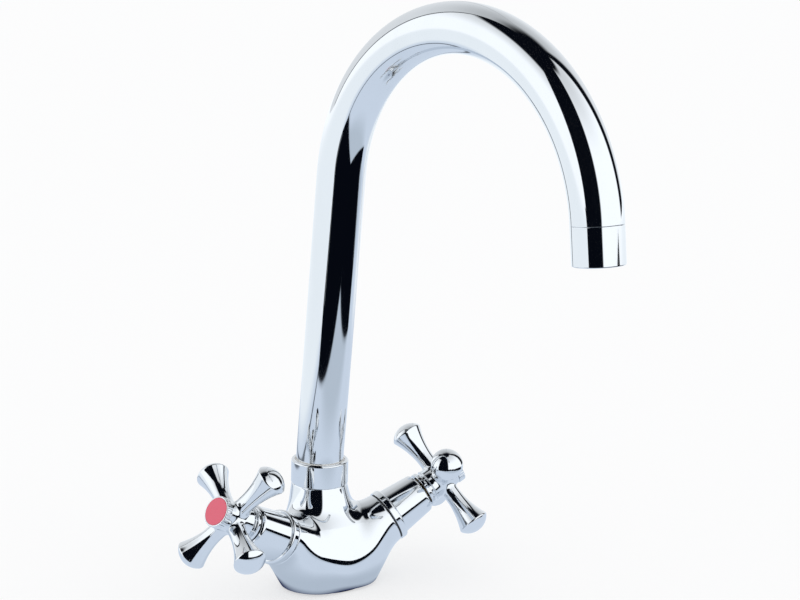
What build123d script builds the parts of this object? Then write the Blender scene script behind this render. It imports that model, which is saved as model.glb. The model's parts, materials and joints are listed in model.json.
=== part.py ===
from build123d import *

import os
from math import cos, radians, sin, tan

os.makedirs("parts", exist_ok=True)

# ---------------------------------------------------------------------------
# A two handle kitchen faucet with a swivelling swan neck spout.
# Millimetres and degrees. The origin is the middle of the foot, on the deck.
# +Z is up, -Y is the front, and -X is the hot side, on the left as one stands
# at the sink.
# ---------------------------------------------------------------------------

# Fits, each measured on the radius or between two faces
running_fit = 0.07
thread_fit = 0.03
braze_fit = 0.08
seal_fit = 0.03
face_gap = 0.05
loose_fit = 0.3

# The tube that the spout is bent from, which the swivel joint and the outlet follow
tube_d = 22.0
tube_wall = 1.2

# Foot and the rubber gasket under it
foot_length = 46.0
foot_depth = 40.0
gasket_rise = 1.0
gasket_sunk = 1.2
gasket_inset = 1.8
gasket_clearance = 0.3

# Cast body: a hull whose two arms rise from a common point to the valves
cross_front = 1.8
cross_height = 10.7
arm_rise = 29.3
arm_sweep = 8.5
arm_end = 34.2
arm_d = 24.8
arm_wall = 2.6
arm_land = 5.0
hull_height = 10.5
hull_belly = 0.8
hull_crown = 16.5
hull_depth = 36.0
shoulder_station = 18.0
shoulder_width = 33.4
shoulder_crown = 12.3
shoulder_belly = 2.6
shoulder_rise = 15.0
shoulder_sweep = 4.0
valley_radius = 6.0

# Neck of the body, set back behind the foot's middle
neck_margin = 0.45
neck_proud = 0.15
neck_top = 46.7
neck_flare_drop = 17.0
neck_flare = 2.6
neck_root_drop = 31.0
neck_root_inset = 3.0

# Threaded holes under the foot
inlet_spacing = 17.0
inlet_front = 3.2
inlet_thread_d = 10.0
inlet_thread_depth = 10.0
inlet_drill_d = 7.0
inlet_drill_depth = 15.4
stud_back = 9.0
stud_thread_d = 8.0
stud_depth = 13.0

# Valve chamber in each arm, by distance out from the crossing point
port_station = 8.0
seat_station = 15.0
seat_port_d = 7.0
chamber_step = 1.1
thread_start = 23.4
mix_port_d = 6.0
mix_port_station = 19.0

# Spout nut and the swivel joint under it
nut_height = 11.0
nut_room = 1.0
nut_wall = 1.25
nut_thread_length = 6.3
nut_lip = 2.0
nut_rounding = 0.9
spigot_wall = 2.0
neck_bore_bottom = 27.0
journal_bottom = 31.0
retainer_thickness = 1.6
retainer_bite = 0.7
retainer_gap = 2.4
shoulder_height = 0.7
slip_ring_wall = 0.45
slip_ring_proud = 0.2

# Spout tube: a short upright end, a leaning leg and the great bend
spout_turn = 6.1
spout_lean = 4.5
lean_corner = 60.6
lean_radius = 60.0
leg_length = 130.6
bend_radius = 79.1
bend_angle = 168.3

# Spout foot, brazed into the tube
foot_wall = 3.0
braze_length = 1.8
o_ring_d = 1.8
o_ring_low = 5.0
o_ring_pitch = 9.0
o_ring_room = 0.3

# Outlet: a sleeve in line with the tube, which holds the aerator
outlet_length = 16.2
outlet_wall = 1.7
outlet_lip = 1.4
outlet_lip_width = 1.0
outlet_rounding = 0.5
nipple_in_tube = 3.0
nipple_in_sleeve = 4.0
nipple_wall = 1.6
washer_thickness = 1.5
aerator_wall = 0.9
aerator_base = 1.8
aerator_hole_d = 1.6
aerator_hole_pitch = 2.7
screen_rim = 1.15
screen_thickness = 0.5
screen_sunk = 1.5

# Valve headwork, by lengths along its axis
arm_gasket_thickness = 0.6
arm_gasket_inset = 0.5
collar_proud = 0.35
collar_length = 3.4
collar_rounding = 1.1
barrel_start = 1.2
barrel_d = 16.6
barrel_bore_d = 13.2
seat_seal_d = 12.6
seat_seal_hole_d = 8.0
seat_seal_length = 1.8
disc_d = 12.8
disc_thickness = 2.8
port_inner_d = 3.2
port_outer_d = 9.8
port_angle = 150.0
notch_depth = 1.4
window_width = 6.0
window_count = 4
flange_proud = 0.6
flange_thickness = 1.5
hex_across_flats = 15.0
hex_length = 5.5
headwork_end = 53.0
headwork_d = 16.4
hex_relief = 1.0
stop_depth = 1.2
stop_lug_angle = 56.0
stop_block_angle = 120.0
stop_clearance = 2.0

# Valve spindle
spindle_d = 8.0
spindle_foot_thickness = 2.0
key_width = 2.4
key_depth = 1.2
spindle_seal_d = 1.44
spindle_seal_station = 45.0
clip_station = 53.2
clip_thickness = 0.8
clip_bite = 0.8
clip_gap = 3.0
clip_d = 10.4
spline_count = 12
spline_d = 0.9
spline_length = 11.0

# Bonnet sleeve over the headwork
sleeve_wall = 1.0
sleeve_top_d = 19.6
sleeve_taper_end = 53.0
sleeve_end = 55.2
sleeve_mouth_d = 14.0
sleeve_brow_d = 16.6
sleeve_bore_d = 18.4
sleeve_thread_length = 6.5

# Cross handle, by distance out from the crossing point and along its arms
skirt_start = 56.0
skirt_d = 17.4
skirt_length = 1.9
skirt_relief_d = 11.0
skirt_relief = 1.2
waist_d = 14.6
waist_length = 1.6
hub_back_d = 16.2
hub_front_d = 13.7
handle_station = 66.8
hub_front = 6.8
hub_floor = 2.0
arm_count = 4
lever_root = 4.3
lever_waist_d = 8.0
lever_waist = 10.5
lever_rim_d = 15.2
lever_rim = 26.4
lever_dome = 4.4
lever_rim_rounding = 1.0
lever_flare_angle = 24.0
hot_turn = 56.4
cold_turn = 52.8
screw_thread_d = 4.0
screw_head_d = 7.4
screw_head_thickness = 2.2
screw_length = 9.0
screw_socket_d = 3.0
screw_socket_depth = 1.4
well_d = 9.0

# Index button, pressed into the hub
button_d = 14.4
button_height = 3.2
button_teeth = 36
button_tooth_d = 0.7
button_plug_depth = 0.9
index_sunk = 0.5
index_d = 12.6
index_thickness = 0.7
index_rounding = 0.2


# ---------------------------------------------------------------------------
# Sizes that follow from those above, and planes and operations that pieces share
# ---------------------------------------------------------------------------

nut_thread_d = tube_d + 2 * nut_room
nut_d = nut_thread_d + 2 * nut_wall
neck_d = nut_d + 2 * neck_proud
neck_bore_d = nut_thread_d - 2 * spigot_wall
neck_back = foot_depth / 2 - neck_d / 2 - neck_margin
neck_root_d = foot_depth - 2 * neck_root_inset
valve_thread_d = arm_d - 2 * arm_wall
chamber_d = valve_thread_d - 2 * chamber_step
collar_d = arm_d + 2 * collar_proud
flange_d = valve_thread_d + 2 * flange_proud
sleeve_base_d = flange_d + 2 * sleeve_wall

upward = Vector(0, 0, 1)
cross_point = Vector(0, -cross_front, cross_height)


def arm_direction(side, rise=arm_rise, sweep=arm_sweep):
    """Direction out of the body along the arm on one side, -1 hot or 1 cold."""
    level = cos(radians(rise))
    return Vector(side * level * cos(radians(sweep)), -level * sin(radians(sweep)), sin(radians(rise)))


def arm_point(side, station):
    """Point on an arm's axis, `station` out from the crossing point."""
    return cross_point + arm_direction(side) * station


def across(side, station):
    """Plane square to an arm's axis: Z runs out of the arm and X is level."""
    out = arm_direction(side)
    return Plane(origin=arm_point(side, station), x_dir=upward.cross(out), z_dir=out)


def lengthwise(side, station=0.0):
    """Plane that holds an arm's axis: Y runs out along the axis and X is level."""
    out = arm_direction(side)
    level = upward.cross(out).normalized()
    return Plane(origin=arm_point(side, station), x_dir=level, z_dir=level.cross(out))


def hull_section(side, station, rise, sweep):
    """Plane of one section of the hull; all of them face the cold side."""
    out = arm_direction(side, rise, sweep) * side
    return Plane(origin=arm_point(side, station), x_dir=upward.cross(out), z_dir=out)


def turned(plane, *points, mode=Mode.ADD):
    """Straight sided outline, turned about the plane's Y axis."""
    with BuildSketch(plane) as outline:
        with BuildLine():
            Polyline(*points, close=True)
        make_face()
    revolve(outline.sketch, axis=Axis(plane.origin, plane.y_dir), mode=mode)


def cylinder_up(plane, diameter, length, inner_d=0.0, mode=Mode.ADD):
    """Round bar, or tube when it has an inner diameter, standing on a plane."""
    with BuildSketch(plane) as disc:
        Circle(diameter / 2)
        if inner_d:
            Circle(inner_d / 2, mode=Mode.SUBTRACT)
    extrude(disc.sketch, amount=length, mode=mode)


def sector(diameter, angle, middle, mode=Mode.ADD):
    """Pie slice of the given angle, its middle turned from the X axis."""
    with BuildLine() as outline:
        PolarLine((0, 0), diameter / 2, middle - angle / 2)
        CenterArc((0, 0), diameter / 2, middle - angle / 2, angle)
        PolarLine((0, 0), diameter / 2, middle + angle / 2)
    make_face(outline.edges(), mode=mode)


def o_ring(plane, outer_d, thickness):
    """Round section ring that lies in a plane."""
    with BuildSketch(Plane(origin=plane.origin, x_dir=plane.x_dir, z_dir=-plane.y_dir)) as section:
        with Locations(((outer_d - thickness) / 2, 0)):
            Circle(thickness / 2)
    revolve(section.sketch, axis=Axis(plane.origin, plane.z_dir))


def deliver(piece, name):
    """Name a piece and write its STEP file."""
    piece.part.label = name
    export_step(piece.part, "parts/" + name + ".step")


# ---------------------------------------------------------------------------
# Heights in the swivel joint, worked upwards from the neck
# ---------------------------------------------------------------------------

# upright plane through the neck's axis: X runs out from the axis and Y is the height
neck_plane = Plane(origin=(0, neck_back, 0), x_dir=(1, 0, 0), z_dir=(0, -1, 0))
spigot_top = neck_top + nut_thread_length
nut_top = neck_top + nut_height
lip_bottom = nut_top - nut_lip
retainer_bottom = spigot_top + face_gap
retainer_top = retainer_bottom + retainer_thickness
shoulder_bottom = retainer_top + face_gap
tube_bottom = shoulder_bottom + shoulder_height
journal_d = neck_bore_d - 2 * running_fit
ring_groove_d = journal_d - 2 * retainer_bite
slip_ring_bore_d = tube_d + 2 * running_fit
slip_ring_d = slip_ring_bore_d + 2 * slip_ring_wall
retainer_d = nut_thread_d - 2 * loose_fit
foot_bore_d = neck_bore_d - 2 * foot_wall

# ---------------------------------------------------------------------------
# Cast body
# ---------------------------------------------------------------------------

shoulder_depth = arm_point(1, shoulder_station).Z / cos(radians(shoulder_rise)) + shoulder_belly
middle_section = Plane(origin=(0, 0, hull_height), x_dir=(0, 1, 0), z_dir=(1, 0, 0))
gasket_length = foot_length - 2 * gasket_inset
gasket_depth = foot_depth - 2 * gasket_inset


def half_hull(side):
    """Sections of one arm, from its mouth inwards: plane, half width, rise and drop."""
    radius = arm_d / 2
    return [
        (hull_section(side, arm_end, arm_rise, arm_sweep), radius, radius, radius),
        (hull_section(side, arm_end - arm_land, arm_rise, arm_sweep),
         radius + 0.1 * arm_land, radius, radius + 0.25 * arm_land),
        (hull_section(side, shoulder_station, shoulder_rise, shoulder_sweep),
         shoulder_width / 2, shoulder_crown, shoulder_depth),
    ]


hull_sections = half_hull(-1)
hull_sections.append((middle_section, foot_depth / 2 + hull_belly, hull_crown, hull_depth))
hull_sections.extend(reversed(half_hull(1)))

with BuildPart() as faucet_body:
    for plane, half_width, crown, drop in hull_sections:
        with BuildSketch(plane):
            with BuildLine():
                EllipticalCenterArc((0, 0), half_width, crown, start_angle=0, arc_size=180)
                EllipticalCenterArc((0, 0), half_width, drop, start_angle=180, arc_size=180)
            make_face()
    loft()
    # the neck flares downwards and forwards into the hull
    for drop, back, width in (
        (0, neck_back, neck_d),
        (neck_flare_drop / 2, neck_back - neck_flare / 4, neck_d + neck_flare / 2),
        (neck_flare_drop, neck_back - neck_flare, neck_d + 2.6 * neck_flare),
        (neck_root_drop, neck_back / 4, neck_root_d),
    ):
        with BuildSketch(Plane.XY.offset(neck_top - drop)):
            with Locations((0, back)):
                Circle(width / 2)
    loft()
    split(bisect_by=Plane.XY.offset(gasket_rise), keep=Keep.TOP)
    valleys = faucet_body.edges().filter_by_position(Axis.Z, cross_height, neck_top - 1)
    valleys = valleys.filter_by(lambda edge: edge.length > arm_d / 2)
    fillet(valleys.filter_by(lambda edge: abs(edge.center().X) < shoulder_station), valley_radius)

    # threaded spigot and bore of the swivel joint
    spigot_plane = Plane.XY.offset(neck_top)
    with BuildSketch(spigot_plane):
        with Locations((0, neck_back)):
            Circle(nut_thread_d / 2)
    extrude(amount=nut_thread_length)
    with BuildSketch(Plane.XY.offset(neck_bore_bottom)):
        with Locations((0, neck_back)):
            Circle(neck_bore_d / 2)
    extrude(amount=spigot_top - neck_bore_bottom, mode=Mode.SUBTRACT)

    # valve chambers, each with its seat port and a passage to the neck
    for side in (-1, 1):
        cylinder_up(across(side, port_station), seat_port_d, seat_station - port_station, mode=Mode.SUBTRACT)
        cylinder_up(across(side, seat_station), chamber_d, thread_start - seat_station, mode=Mode.SUBTRACT)
        cylinder_up(across(side, thread_start), valve_thread_d, arm_end - thread_start, mode=Mode.SUBTRACT)
        mix_start = arm_point(side, mix_port_station)
        mix_end = Vector(side * mix_port_d / 2, neck_back, neck_bore_bottom + mix_port_d / 2)
        mix_run = mix_end - mix_start
        with BuildSketch(Plane(origin=mix_start, z_dir=mix_run)):
            Circle(mix_port_d / 2)
        extrude(amount=mix_run.length, mode=Mode.SUBTRACT)

    # underside: two inlets, the fixing stud's hole and the gasket's recess
    with BuildSketch(Plane.XY.offset(gasket_rise)):
        with Locations((-inlet_spacing / 2, -inlet_front), (inlet_spacing / 2, -inlet_front)):
            Circle(inlet_drill_d / 2)
    extrude(amount=inlet_drill_depth, mode=Mode.SUBTRACT)
    with BuildSketch(Plane.XY.offset(gasket_rise)):
        with Locations((-inlet_spacing / 2, -inlet_front), (inlet_spacing / 2, -inlet_front)):
            Circle(inlet_thread_d / 2)
    extrude(amount=inlet_thread_depth, mode=Mode.SUBTRACT)
    with BuildSketch(Plane.XY.offset(gasket_rise)):
        with Locations((0, stud_back)):
            Circle(stud_thread_d / 2)
    extrude(amount=stud_depth, mode=Mode.SUBTRACT)
    with BuildSketch(Plane.XY.offset(gasket_rise)):
        Ellipse(gasket_length / 2, gasket_depth / 2)
    extrude(amount=gasket_sunk, mode=Mode.SUBTRACT)
deliver(faucet_body, "faucet_body")

with BuildPart() as foot_gasket:
    with BuildSketch(Plane.XY):
        Ellipse(gasket_length / 2 - face_gap, gasket_depth / 2 - face_gap)
        with Locations((-inlet_spacing / 2, -inlet_front), (inlet_spacing / 2, -inlet_front)):
            Circle(inlet_thread_d / 2 + gasket_clearance, mode=Mode.SUBTRACT)
        with Locations((0, stud_back)):
            Circle(stud_thread_d / 2 + gasket_clearance, mode=Mode.SUBTRACT)
    extrude(amount=gasket_rise + gasket_sunk)
deliver(foot_gasket, "foot_gasket")

# ---------------------------------------------------------------------------
# Swivel joint
# ---------------------------------------------------------------------------

with BuildPart() as spout_nut:
    turned(
        neck_plane,
        (nut_thread_d / 2 + thread_fit, neck_top),
        (nut_d / 2, neck_top),
        (nut_d / 2, nut_top),
        (slip_ring_d / 2 + face_gap, nut_top),
        (slip_ring_d / 2 + face_gap, lip_bottom),
        (nut_thread_d / 2 + thread_fit, lip_bottom),
    )
    rim = spout_nut.edges().filter_by(GeomType.CIRCLE).group_by(SortBy.RADIUS)[-1]
    fillet(rim.sort_by(Axis.Z)[-1], nut_rounding)
deliver(spout_nut, "spout_nut")

with BuildPart() as slip_ring:
    turned(
        neck_plane,
        (slip_ring_bore_d / 2, shoulder_bottom),
        (nut_thread_d / 2 - face_gap, shoulder_bottom),
        (nut_thread_d / 2 - face_gap, lip_bottom),
        (slip_ring_d / 2, lip_bottom),
        (slip_ring_d / 2, nut_top + slip_ring_proud),
        (slip_ring_bore_d / 2, nut_top + slip_ring_proud),
    )
deliver(slip_ring, "slip_ring")

o_ring_outer_d = neck_bore_d - 2 * seal_fit
o_ring_groove_d = o_ring_outer_d - 2 * o_ring_d - 2 * seal_fit
o_ring_stations = (journal_bottom + o_ring_low, journal_bottom + o_ring_low + o_ring_pitch)
tube_bore_d = tube_d - 2 * tube_wall

with BuildPart() as spout_foot:
    turned(
        neck_plane,
        (foot_bore_d / 2, journal_bottom),
        (journal_d / 2, journal_bottom),
        (journal_d / 2, retainer_bottom - face_gap),
        (ring_groove_d / 2, retainer_bottom - face_gap),
        (ring_groove_d / 2, shoulder_bottom),
        (tube_d / 2, shoulder_bottom),
        (tube_d / 2, tube_bottom),
        (tube_bore_d / 2 - thread_fit, tube_bottom),
        (tube_bore_d / 2 - thread_fit, tube_bottom + braze_length),
        (foot_bore_d / 2, tube_bottom + braze_length),
    )
    for station in o_ring_stations:
        groove_half = o_ring_d / 2 + o_ring_room
        turned(
            neck_plane,
            (o_ring_groove_d / 2, station - groove_half),
            (neck_bore_d / 2, station - groove_half),
            (neck_bore_d / 2, station + groove_half),
            (o_ring_groove_d / 2, station + groove_half),
            mode=Mode.SUBTRACT,
        )
deliver(spout_foot, "spout_foot")

for name, station in zip(("spout_o_ring_lower", "spout_o_ring_upper"), o_ring_stations):
    with BuildPart() as swivel_seal:
        o_ring(Plane(origin=(0, neck_back, station), z_dir=(0, 0, 1)), o_ring_outer_d, o_ring_d)
    deliver(swivel_seal, name)

with BuildPart() as spout_retainer:
    turned(
        neck_plane,
        (ring_groove_d / 2 + face_gap, retainer_bottom),
        (retainer_d / 2, retainer_bottom),
        (retainer_d / 2, retainer_top),
        (ring_groove_d / 2 + face_gap, retainer_top),
    )
    with BuildSketch(Plane.XY.offset(retainer_bottom)):
        with Locations((0, neck_back + neck_bore_d / 2)):
            Rectangle(retainer_gap, neck_bore_d / 2)
    extrude(amount=retainer_thickness, mode=Mode.SUBTRACT)
deliver(spout_retainer, "spout_retainer")

# ---------------------------------------------------------------------------
# Spout tube and outlet
# ---------------------------------------------------------------------------

spout_forward = Vector(sin(radians(spout_turn)), -cos(radians(spout_turn)), 0)
spout_plane = Plane(origin=(0, neck_back, 0), x_dir=spout_forward, z_dir=spout_forward.cross(upward))
lean_start = lean_corner - lean_radius * tan(radians(spout_lean / 2))

with BuildPart() as spout_tube:
    with BuildLine(spout_plane) as spout_path:
        foot_run = Line((0, tube_bottom), (0, lean_start))
        lean_bend = JernArc(foot_run @ 1, foot_run % 1, lean_radius, -spout_lean)
        leg = PolarLine(lean_bend @ 1, leg_length, direction=lean_bend % 1)
        great_bend = JernArc(leg @ 1, leg % 1, bend_radius, -bend_angle)
    with BuildSketch(Plane(origin=(0, neck_back, tube_bottom), z_dir=(0, 0, 1))):
        Circle(tube_d / 2)
        Circle(tube_bore_d / 2, mode=Mode.SUBTRACT)
    sweep(path=spout_path.line)
deliver(spout_tube, "spout_tube")

outlet_start = spout_path.line @ 1
outlet_way = (spout_path.line % 1).normalized()
outlet_level = spout_plane.z_dir
# Y runs down the outlet from the tube's end and X runs out from its axis
outlet_plane = Plane(origin=outlet_start, x_dir=outlet_level, z_dir=outlet_level.cross(outlet_way))
lip_station = outlet_length - outlet_lip
outlet_bore_d = tube_d - 2 * outlet_wall
outlet_lip_d = outlet_bore_d - 2 * outlet_lip_width
nipple_bore_d = outlet_bore_d - 2 * nipple_wall
washer_station = nipple_in_sleeve + face_gap
insert_station = washer_station + washer_thickness
insert_d = outlet_bore_d - 2 * face_gap
cup_d = insert_d - 2 * aerator_wall
screen_d = insert_d - 2 * screen_rim


def down_outlet(station):
    """Plane square to the outlet's axis, its Z pointing the way the water runs."""
    return Plane(origin=outlet_start + outlet_way * station, x_dir=outlet_level, z_dir=outlet_way)


with BuildPart() as outlet_nipple:
    turned(
        outlet_plane,
        (nipple_bore_d / 2, -nipple_in_tube),
        (tube_bore_d / 2 - braze_fit, -nipple_in_tube),
        (tube_bore_d / 2 - braze_fit, 0),
        (outlet_bore_d / 2 - thread_fit, 0),
        (outlet_bore_d / 2 - thread_fit, nipple_in_sleeve),
        (nipple_bore_d / 2, nipple_in_sleeve),
    )
deliver(outlet_nipple, "outlet_nipple")

with BuildPart() as outlet_sleeve:
    turned(
        outlet_plane,
        (outlet_bore_d / 2, 0),
        (tube_d / 2, 0),
        (tube_d / 2, outlet_length),
        (outlet_lip_d / 2, outlet_length),
        (outlet_lip_d / 2, lip_station),
        (outlet_bore_d / 2, lip_station),
    )
    rims = outlet_sleeve.edges().filter_by(GeomType.CIRCLE)
    fillet(rims.sort_by(Axis(outlet_start, outlet_way)).group_by(SortBy.RADIUS)[-1][-1:], outlet_rounding)
deliver(outlet_sleeve, "outlet_sleeve")

with BuildPart() as aerator_washer:
    cylinder_up(down_outlet(washer_station), insert_d, washer_thickness - face_gap, nipple_bore_d)
deliver(aerator_washer, "aerator_washer")

with BuildPart() as aerator_insert:
    cylinder_up(down_outlet(insert_station), insert_d, lip_station - face_gap - insert_station)
    cylinder_up(down_outlet(insert_station), screen_d + 2 * face_gap, screen_sunk + screen_thickness,
                mode=Mode.SUBTRACT)
    cylinder_up(down_outlet(insert_station), cup_d - 2 * aerator_wall,
                lip_station - face_gap - aerator_base - insert_station, mode=Mode.SUBTRACT)
    with BuildSketch(down_outlet(lip_station - face_gap - aerator_base)):
        with HexLocations(aerator_hole_pitch / 2, 5, 5):
            Circle(aerator_hole_d / 2)
    extrude(amount=aerator_base, mode=Mode.SUBTRACT)
deliver(aerator_insert, "aerator_insert")

with BuildPart() as aerator_screen:
    with BuildSketch(down_outlet(insert_station + screen_sunk)):
        Circle(screen_d / 2)
        with PolarLocations(screen_d / 4, 6):
            Circle(aerator_hole_pitch / 2, mode=Mode.SUBTRACT)
    extrude(amount=screen_thickness)
deliver(aerator_screen, "aerator_screen")

# ---------------------------------------------------------------------------
# Valves and handles, one set on each arm
# ---------------------------------------------------------------------------

collar_start = arm_end + arm_gasket_thickness
flange_start = collar_start + collar_length
hex_start = flange_start + flange_thickness
barrel_bottom = seat_station + barrel_start
fixed_disc_start = seat_station + seat_seal_length
moving_disc_start = fixed_disc_start + disc_thickness + face_gap
spindle_start = moving_disc_start + disc_thickness + face_gap
barrel_top = spindle_start + spindle_foot_thickness + face_gap
spindle_bore_d = spindle_d + 2 * running_fit
stop_d = barrel_bore_d - 2 * stop_depth
spindle_groove_d = spindle_d - 2 * clip_bite
spindle_end = skirt_start + skirt_relief + spline_length
hub_end = handle_station + hub_front
# ball shaped end of a lever, through its rim and square to its axis
dome_radius = ((lever_rim_d / 2) ** 2 + lever_dome ** 2) / (2 * lever_dome)
flare_end = (cos(radians(lever_flare_angle)), sin(radians(lever_flare_angle)))
floor_start = spindle_end + face_gap
well_start = floor_start + hub_floor

for side, tap, cross_turn, opens in ((-1, "hot", hot_turn, 1), (1, "cold", cold_turn, -1)):
    valve_axis = Axis(cross_point, arm_direction(side))
    valve_plane = lengthwise(side)

    with BuildPart() as arm_gasket:
        cylinder_up(across(side, arm_end), arm_d - 2 * arm_gasket_inset, arm_gasket_thickness,
                    valve_thread_d + 2 * thread_fit)
    deliver(arm_gasket, tap + "_arm_gasket")

    with BuildPart() as collar:
        cylinder_up(across(side, collar_start), collar_d, collar_length, valve_thread_d + 2 * thread_fit)
        collar_rims = collar.edges().filter_by(GeomType.CIRCLE).group_by(SortBy.RADIUS)[-1]
        fillet(collar_rims.sort_by(valve_axis)[-1:], collar_rounding)
    deliver(collar, tap + "_collar")

    with BuildPart() as seat_seal:
        cylinder_up(across(side, seat_station), seat_seal_d, seat_seal_length, seat_seal_hole_d)
    deliver(seat_seal, tap + "_seat_seal")

    with BuildPart() as fixed_disc:
        with BuildSketch(across(side, fixed_disc_start)):
            Circle(disc_d / 2)
            sector(port_outer_d, port_angle, 90, mode=Mode.SUBTRACT)
            Circle(port_inner_d / 2)
        extrude(amount=disc_thickness)
    deliver(fixed_disc, tap + "_fixed_disc")

    # the notch lets the water out sideways once it is turned round to the port
    with BuildPart() as moving_disc:
        cylinder_up(across(side, moving_disc_start), disc_d, disc_thickness)
        with BuildSketch(across(side, moving_disc_start)):
            sector(disc_d + loose_fit, port_angle, -90)
            Circle(port_inner_d / 2, mode=Mode.SUBTRACT)
        extrude(amount=notch_depth, mode=Mode.SUBTRACT)
        with BuildSketch(across(side, moving_disc_start + disc_thickness - key_depth)):
            Rectangle(key_width, disc_d + loose_fit)
        extrude(amount=key_depth, mode=Mode.SUBTRACT)
    deliver(moving_disc, tap + "_moving_disc")

    with BuildPart() as headwork:
        turned(
            valve_plane,
            (spindle_bore_d / 2, barrel_bottom),
            (barrel_d / 2, barrel_bottom),
            (barrel_d / 2, thread_start + face_gap),
            (valve_thread_d / 2 - thread_fit, thread_start + face_gap),
            (valve_thread_d / 2 - thread_fit, flange_start),
            (flange_d / 2, flange_start),
            (flange_d / 2, hex_start),
            (headwork_d / 2 - hex_relief, hex_start),
            (headwork_d / 2 - hex_relief, hex_start + hex_length),
            (headwork_d / 2, hex_start + hex_length),
            (headwork_d / 2, headwork_end),
            (spindle_bore_d / 2, headwork_end),
        )
        with BuildSketch(across(side, hex_start)):
            RegularPolygon(hex_across_flats / 2, 6, major_radius=False)
            Circle(headwork_d / 2 - 2 * hex_relief, mode=Mode.SUBTRACT)
        extrude(amount=hex_length)
        cylinder_up(across(side, barrel_bottom), barrel_bore_d, barrel_top - barrel_bottom, mode=Mode.SUBTRACT)
        # the block that the spindle's lug meets at each end of its half turn
        with BuildSketch(across(side, spindle_start)):
            sector(barrel_bore_d + loose_fit, stop_block_angle, 0)
            Circle(stop_d / 2, mode=Mode.SUBTRACT)
        extrude(amount=barrel_top - spindle_start)
        with BuildSketch(across(side, moving_disc_start + face_gap)):
            with PolarLocations(barrel_bore_d / 2, window_count, start_angle=45):
                Rectangle(barrel_bore_d / 2, window_width)
        extrude(amount=notch_depth, mode=Mode.SUBTRACT)
    deliver(headwork, tap + "_headwork")

    with BuildPart() as sleeve:
        with BuildSketch(valve_plane):
            with BuildLine():
                Polyline(
                    (sleeve_mouth_d / 2, sleeve_end),
                    (sleeve_mouth_d / 2, headwork_end + face_gap),
                    (headwork_d / 2 + thread_fit, headwork_end + face_gap),
                    (headwork_d / 2 + thread_fit, headwork_end - sleeve_thread_length),
                    (sleeve_bore_d / 2, headwork_end - sleeve_thread_length),
                    (sleeve_bore_d / 2, hex_start + face_gap),
                    (flange_d / 2 + face_gap, hex_start + face_gap),
                    (flange_d / 2 + face_gap, flange_start),
                    (sleeve_base_d / 2, flange_start),
                )
                taper = Line((sleeve_base_d / 2, flange_start), (sleeve_top_d / 2, sleeve_taper_end))
                TangentArc(taper @ 1, (sleeve_brow_d / 2, sleeve_end), tangent=taper % 1)
                Line((sleeve_brow_d / 2, sleeve_end), (sleeve_mouth_d / 2, sleeve_end))
            make_face()
        revolve(axis=valve_axis)
    deliver(sleeve, tap + "_sleeve")

    with BuildPart() as spindle:
        turned(
            valve_plane,
            (0, spindle_start),
            (stop_d / 2 - loose_fit, spindle_start),
            (stop_d / 2 - loose_fit, barrel_top - face_gap),
            (spindle_d / 2, barrel_top - face_gap),
            (spindle_d / 2, clip_station),
            (spindle_groove_d / 2, clip_station),
            (spindle_groove_d / 2, clip_station + clip_thickness + 2 * face_gap),
            (spindle_d / 2, clip_station + clip_thickness + 2 * face_gap),
            (spindle_d / 2, spindle_end),
            (0, spindle_end),
        )
        seal_half = spindle_seal_d / 2 + face_gap
        seal_groove_d = spindle_bore_d - 2 * spindle_seal_d - 4 * seal_fit
        turned(
            valve_plane,
            (seal_groove_d / 2, spindle_seal_station - seal_half),
            (spindle_d / 2 + loose_fit, spindle_seal_station - seal_half),
            (spindle_d / 2 + loose_fit, spindle_seal_station + seal_half),
            (seal_groove_d / 2, spindle_seal_station + seal_half),
            mode=Mode.SUBTRACT,
        )
        # the lug starts against the block and turns half way round to its other end
        lug_middle = opens * ((stop_block_angle + stop_lug_angle) / 2 + stop_clearance)
        with BuildSketch(across(side, spindle_start)):
            sector(barrel_bore_d - 2 * loose_fit, stop_lug_angle, lug_middle)
        extrude(amount=spindle_foot_thickness)
        # key in the moving disc's slot
        with BuildSketch(across(side, spindle_start)):
            Rectangle(key_width - 2 * face_gap, stop_d - 2 * loose_fit)
        extrude(amount=-key_depth)
        with BuildSketch(across(side, spindle_end - spline_length)):
            with PolarLocations(spindle_d / 2, spline_count):
                Circle(spline_d / 2)
        extrude(amount=spline_length, mode=Mode.SUBTRACT)
        cylinder_up(across(side, well_start - screw_length - loose_fit), screw_thread_d + 2 * thread_fit,
                    screw_length, mode=Mode.SUBTRACT)
    deliver(spindle, tap + "_spindle")

    with BuildPart() as spindle_o_ring:
        o_ring(across(side, spindle_seal_station), spindle_bore_d - 2 * seal_fit, spindle_seal_d)
    deliver(spindle_o_ring, tap + "_spindle_o_ring")

    with BuildPart() as spindle_clip:
        with BuildSketch(across(side, clip_station + face_gap)):
            Circle(clip_d / 2)
            Circle(spindle_groove_d / 2 + face_gap, mode=Mode.SUBTRACT)
            with Locations((0, clip_d / 2)):
                Rectangle(clip_gap, clip_d, mode=Mode.SUBTRACT)
        extrude(amount=clip_thickness)
    deliver(spindle_clip, tap + "_spindle_clip")

    with BuildPart() as handle:
        turned(
            valve_plane,
            (0, skirt_start),
            (skirt_d / 2, skirt_start),
            (skirt_d / 2, skirt_start + skirt_length),
            (waist_d / 2, skirt_start + skirt_length),
            (waist_d / 2, skirt_start + skirt_length + waist_length),
            (hub_back_d / 2, skirt_start + skirt_length + waist_length),
            (hub_front_d / 2, handle_station),
            (hub_front_d / 2, hub_end),
            (0, hub_end),
        )
        hub = across(side, handle_station)
        for lever in range(arm_count):
            angle = cross_turn + lever * 360 / arm_count
            outward = hub.x_dir * cos(radians(angle)) + hub.y_dir * sin(radians(angle))
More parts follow.
